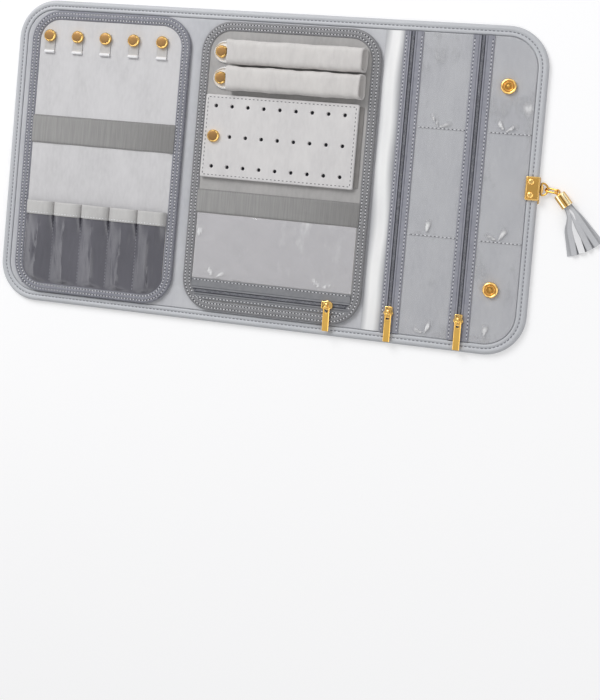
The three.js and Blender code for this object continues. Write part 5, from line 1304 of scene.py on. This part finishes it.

# The clasp on the flap's edge: an inner plate with a raised border and a brushed field, riveted through the
# rim to a plain outer plate, whose rolled edge holds the D-ring of the tassel. The field is a darker copy of
# the border's gold: painted shade.
PLATE = np.array([191.0, 201.6, -5.0, 13.0])
PLATE_BORDER = 1.15
BORDER_LEVELS = [
    (0.2, 5.4), (0, 5.6), (0, 6.4), (0.12, 6.68), (0.4, 6.8), (0.85, 6.8), (1.05, 6.7), (1.2, 6.45),
]
FIELD_LEVELS = [(0, 6.4), (0, 6.5), (0.1, 6.52)]
RIVETS = ((195.0, 8.95), (195.0, -0.95))
RIVET_FLOOR = 6.42
RIVET_HEAD = [(2.3, 0), (2.45, 0.15), (2.4, 0.45), (2.1, 0.85), (1.5, 1.15), (0.8, 1.28), (0.25, 1.3)]
block = outline_block(round_rectangle(*PLATE, (1.3,) * 4, 7), BORDER_LEVELS)
border = make_piece("clasp_border", [block], bright_gold, "flap", sharp=35)
inside = PLATE + np.array([1, -1, 1, -1]) * PLATE_BORDER
block = outline_block(round_rectangle(*inside, (0.5,) * 4, 4), FIELD_LEVELS)
make_piece("clasp_field", [block], plate_gold_painted_shade, "flap", sharp=35)
heads = [turned_part(RIVET_HEAD, (*place, RIVET_FLOOR), 40) for place in RIVETS]
make_piece("clasp_rivets", heads, bright_gold, "flap", sharp=35)
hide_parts("clasp_inner_plate")
for finish in bpy.data.objects["clasp_outer_plate"].material_slots:
    finish.material = bright_gold

# The D-ring and the link: round gold wire. The D's straight bar turns in the clasp's rolled edge, and an
# upright oval link joins its arc to the eye of the tassel's cap.
D_MIDDLE = (202.7, 4.0)
D_HEIGHT = 2.6
D_ARC_START, D_ARC_DEPTH, D_HALF_WIDTH, D_CORNER = 0.9, 3.95, 4.5, 0.8
D_WIRE, LINK_WIRE = 0.75, 0.78
EYE = np.array([214.85, 3.0, 4.8])
LINK_START = np.array([207.55, 4.0, 2.6])
LINK_RADIUS = 1.9
LINK_TILT = np.radians(40)
wire_gold = gold("wire_gold", colour(208, 162, 74), 0.24)
turn = np.radians(np.linspace(-90, 90, 25))
arc = np.stack([D_ARC_START + D_ARC_DEPTH * np.cos(turn), D_HALF_WIDTH * np.sin(turn)], 1)
turn = np.radians(np.linspace(90, 180, 8))
corner = (D_CORNER, D_HALF_WIDTH - D_CORNER) + D_CORNER * np.stack([np.cos(turn), np.sin(turn)], 1)
bar_line = np.linspace((0, 3.5), (0, -3.5), 11)
path = raised(np.concatenate([arc, corner, bar_line, (corner * (1, -1))[::-1]]) + D_MIDDLE, D_HEIGHT)
wire = tube(path, (0, 0, 1.0), D_WIRE, D_WIRE, closed=True)
ring = make_piece("wire_d_ring", [wire], wire_gold, "ring")
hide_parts("d_ring")
along = (EYE - LINK_START) / np.linalg.norm(EYE - LINK_START)
level_way = np.array([-along[1], along[0], 0]) / np.hypot(along[0], along[1])
upward = -np.cross(along, level_way) * np.cos(LINK_TILT) + level_way * np.sin(LINK_TILT)
level_way = np.cross(along, upward)
turn = np.radians(np.linspace(-90, 90, 15))[:, None]
bow = LINK_RADIUS * (along * np.cos(turn) + upward * np.sin(turn))
path = np.concatenate([EYE - LINK_RADIUS * along + bow, LINK_START + 0.25 * along - bow])
path = np.concatenate([
    np.linspace(a, b, 4 if np.linalg.norm(b - a) > 1 else 2)[:-1] for a, b in zip(path, np.roll(path, -1, 0))
])
wire = tube(path, level_way, LINK_WIRE, LINK_WIRE, closed=True)
link = make_piece("wire_link", [wire], wire_gold, "link")
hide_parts("tassel_link")

# The tassel: a turned gold cap with one fine groove and an eye, and flat strips of the cover's leather, cut
# square at their ends, that leave it as one bundle and fan out over the table. The cap carries painted
# reflection bands; the strips carry painted shade and, on one strip, a painted highlight.
TASSEL_TURN = np.radians(-50)
CAP_START = 2.0  # of the cap, from the eye's middle
CAP_SIDES = 96
CAP_SECTION = [
    (1.4, 0.0), (3.4, 0.05), (4.2, 0.25), (4.5, 0.6), (4.6, 1.1), (4.62, 3.0), (4.62, 6.8), (4.45, 6.95),
    (4.45, 7.1), (4.62, 7.25), (4.64, 9.4), (4.64, 10.6), (4.5, 10.95), (4.15, 11.0), (3.95, 10.7),
    (3.95, 6.6),
]
BUNDLE_SECTION = [(3.0, 6.2), (3.6, 6.4), (3.7, 7.0), (3.7, 10.5), (3.4, 11.2), (2.6, 11.4)]
EYE_RADIUS, EYE_WIRE = 1.7, 0.6
# Painted reflection bands round the cap: degrees, width in radians, how much brighter
PAINTED_REFLECTION_BANDS = ((87, 0.07, -0.5), (56, 0.34, 0.42), (119, 0.13, 0.5), (168, 0.2, -0.4), (6, 0.2, -0.4))
STRIP_COUNT, STRIP_LENGTH, STRIP_WIDTH, STRIP_ROOT = 9, 37.0, 4.7, 2.4
STRIP_HALF_THICKNESS = 0.36
STRIP_START, STRIP_SPREAD = 12.4, 4.038
TWISTS = (0.1, -0.35, 0.1, 0.3, -0.1, -0.4, 0.1, 0.35, 0.0)
TIP_FLOOR = -5.05  # the table, from the eye's middle, and half a strip


def lay_tassel(local):
    """Points drawn along the tassel's axis, turned to the way it lies and moved to its eye."""
    c, s = np.cos(TASSEL_TURN), np.sin(TASSEL_TURN)
    x, y, z = np.moveaxis(local, -1, 0)
    return EYE + np.stack([x * c - y * s, x * s + y * c, z], -1)


def turned_tassel(section, sides):
    """Solid of revolution about the tassel's axis: radius and distance from the cap's top."""
    rings, faces = turned_part(section, (0, 0, CAP_START), sides)
    return lay_tassel(np.roll(rings, 1, -1)), faces


# Painted reflection: dark and bright bands round the cap, carried in its marks.
turn = np.arange(CAP_SIDES) * 2 * np.pi / CAP_SIDES
glow = 0.5 + sum(size * bell(turn - np.radians(at), width, 4) for at, width, size in PAINTED_REFLECTION_BANDS)
streaks = np.tile(np.clip(glow, 0, 1), len(CAP_SECTION))
turn = np.radians(np.arange(0, 360, 12))
eye_line = EYE_RADIUS * np.stack([np.cos(turn), np.sin(turn), 0 * turn], 1)
eye_points, eye_faces = tube(eye_line, (0, 0, 1.0), EYE_WIRE, EYE_WIRE, closed=True)
cup_gold_painted_reflection = gold("cup_gold_painted_reflection", colour(222, 176, 92), 0.22)
streaked(cup_gold_painted_reflection, ((0.5, 0.0, colour(92, 56, 14)), (0.5, 1.0, colour(255, 244, 206))))
marks = np.concatenate([streaks, np.full(eye_points.size // 3, 0.5)])
parts = [turned_tassel(CAP_SECTION, CAP_SIDES), (lay_tassel(eye_points), eye_faces)]
cap = make_piece("tassel_cup", parts, cup_gold_painted_reflection, "tassel", sharp=35, marks=marks)
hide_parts("tassel_cap")
strip_leather_painted_light = leather("strip_leather_painted_light", colour(214, 215, 218), colour(182, 183, 188), 900, 0.00005, 0.45)
streaked(strip_leather_painted_light, ((0.5, 0.0, colour(84, 85, 90)), (0.5, 1.0, colour(246, 246, 248))))
parts, marks = [], []
t, v = grid_of(np.linspace(0, 1, 15), np.linspace(-1, 1, 7))
widen = smooth(t / 0.33)
wide = STRIP_ROOT + (STRIP_WIDTH - STRIP_ROOT) * widen
for k, twist in enumerate(TWISTS):
    share = k / (STRIP_COUNT - 1) - 0.5
    layer = k % 2
    angle = np.radians(-13 + 32 * share) * smooth(t / 0.5)
    root_z, tip_z = (layer * 2 - 1) * 1.4, TIP_FLOOR + 0.9 * (layer * 2 + 1)
    x = STRIP_START + STRIP_LENGTH * t * np.cos(angle) - v * wide / 2 * np.sin(angle)
    y = share * STRIP_SPREAD + STRIP_LENGTH * t * np.sin(angle) + v * wide / 2 * np.cos(angle)
    z = root_z + (tip_z - root_z) * smooth(t) + 0.12 * np.sin(3.1 * t + k) * (1 - t)
    z = z + (twist * v - 0.3 * v**2) * widen
    over, under = [lay_tassel(np.stack([x, y, z + way * STRIP_HALF_THICKNESS], -1)) for way in (1, -1)]
    parts += shell(over, under)
    # Painted shade on the lower strips and the upper strips' edges, and a painted highlight over strip 3.
    tone = np.where(np.abs(v) > 0.9, 0.3, 0.5) if layer else np.full(v.shape, 0.42 if k in (0, 8) else 0.18)
    tone = np.ones(v.shape) if k == 3 else tone
    tone = np.stack([tone] * 3, -1)
    marks.append(all_points(shell(tone, tone))[:, 0])  # in the order of the strip's points
parts.append(turned_tassel(BUNDLE_SECTION, 32))
# Painted shade on the bundle's root in the cap.
marks.append(np.full(parts[-1][0].size // 3, 0.2))
marks = np.concatenate(marks)
strips = make_piece("leather_strips", parts, strip_leather_painted_light, "tassel", sharp=50, marks=marks)
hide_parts("tassel_strips")
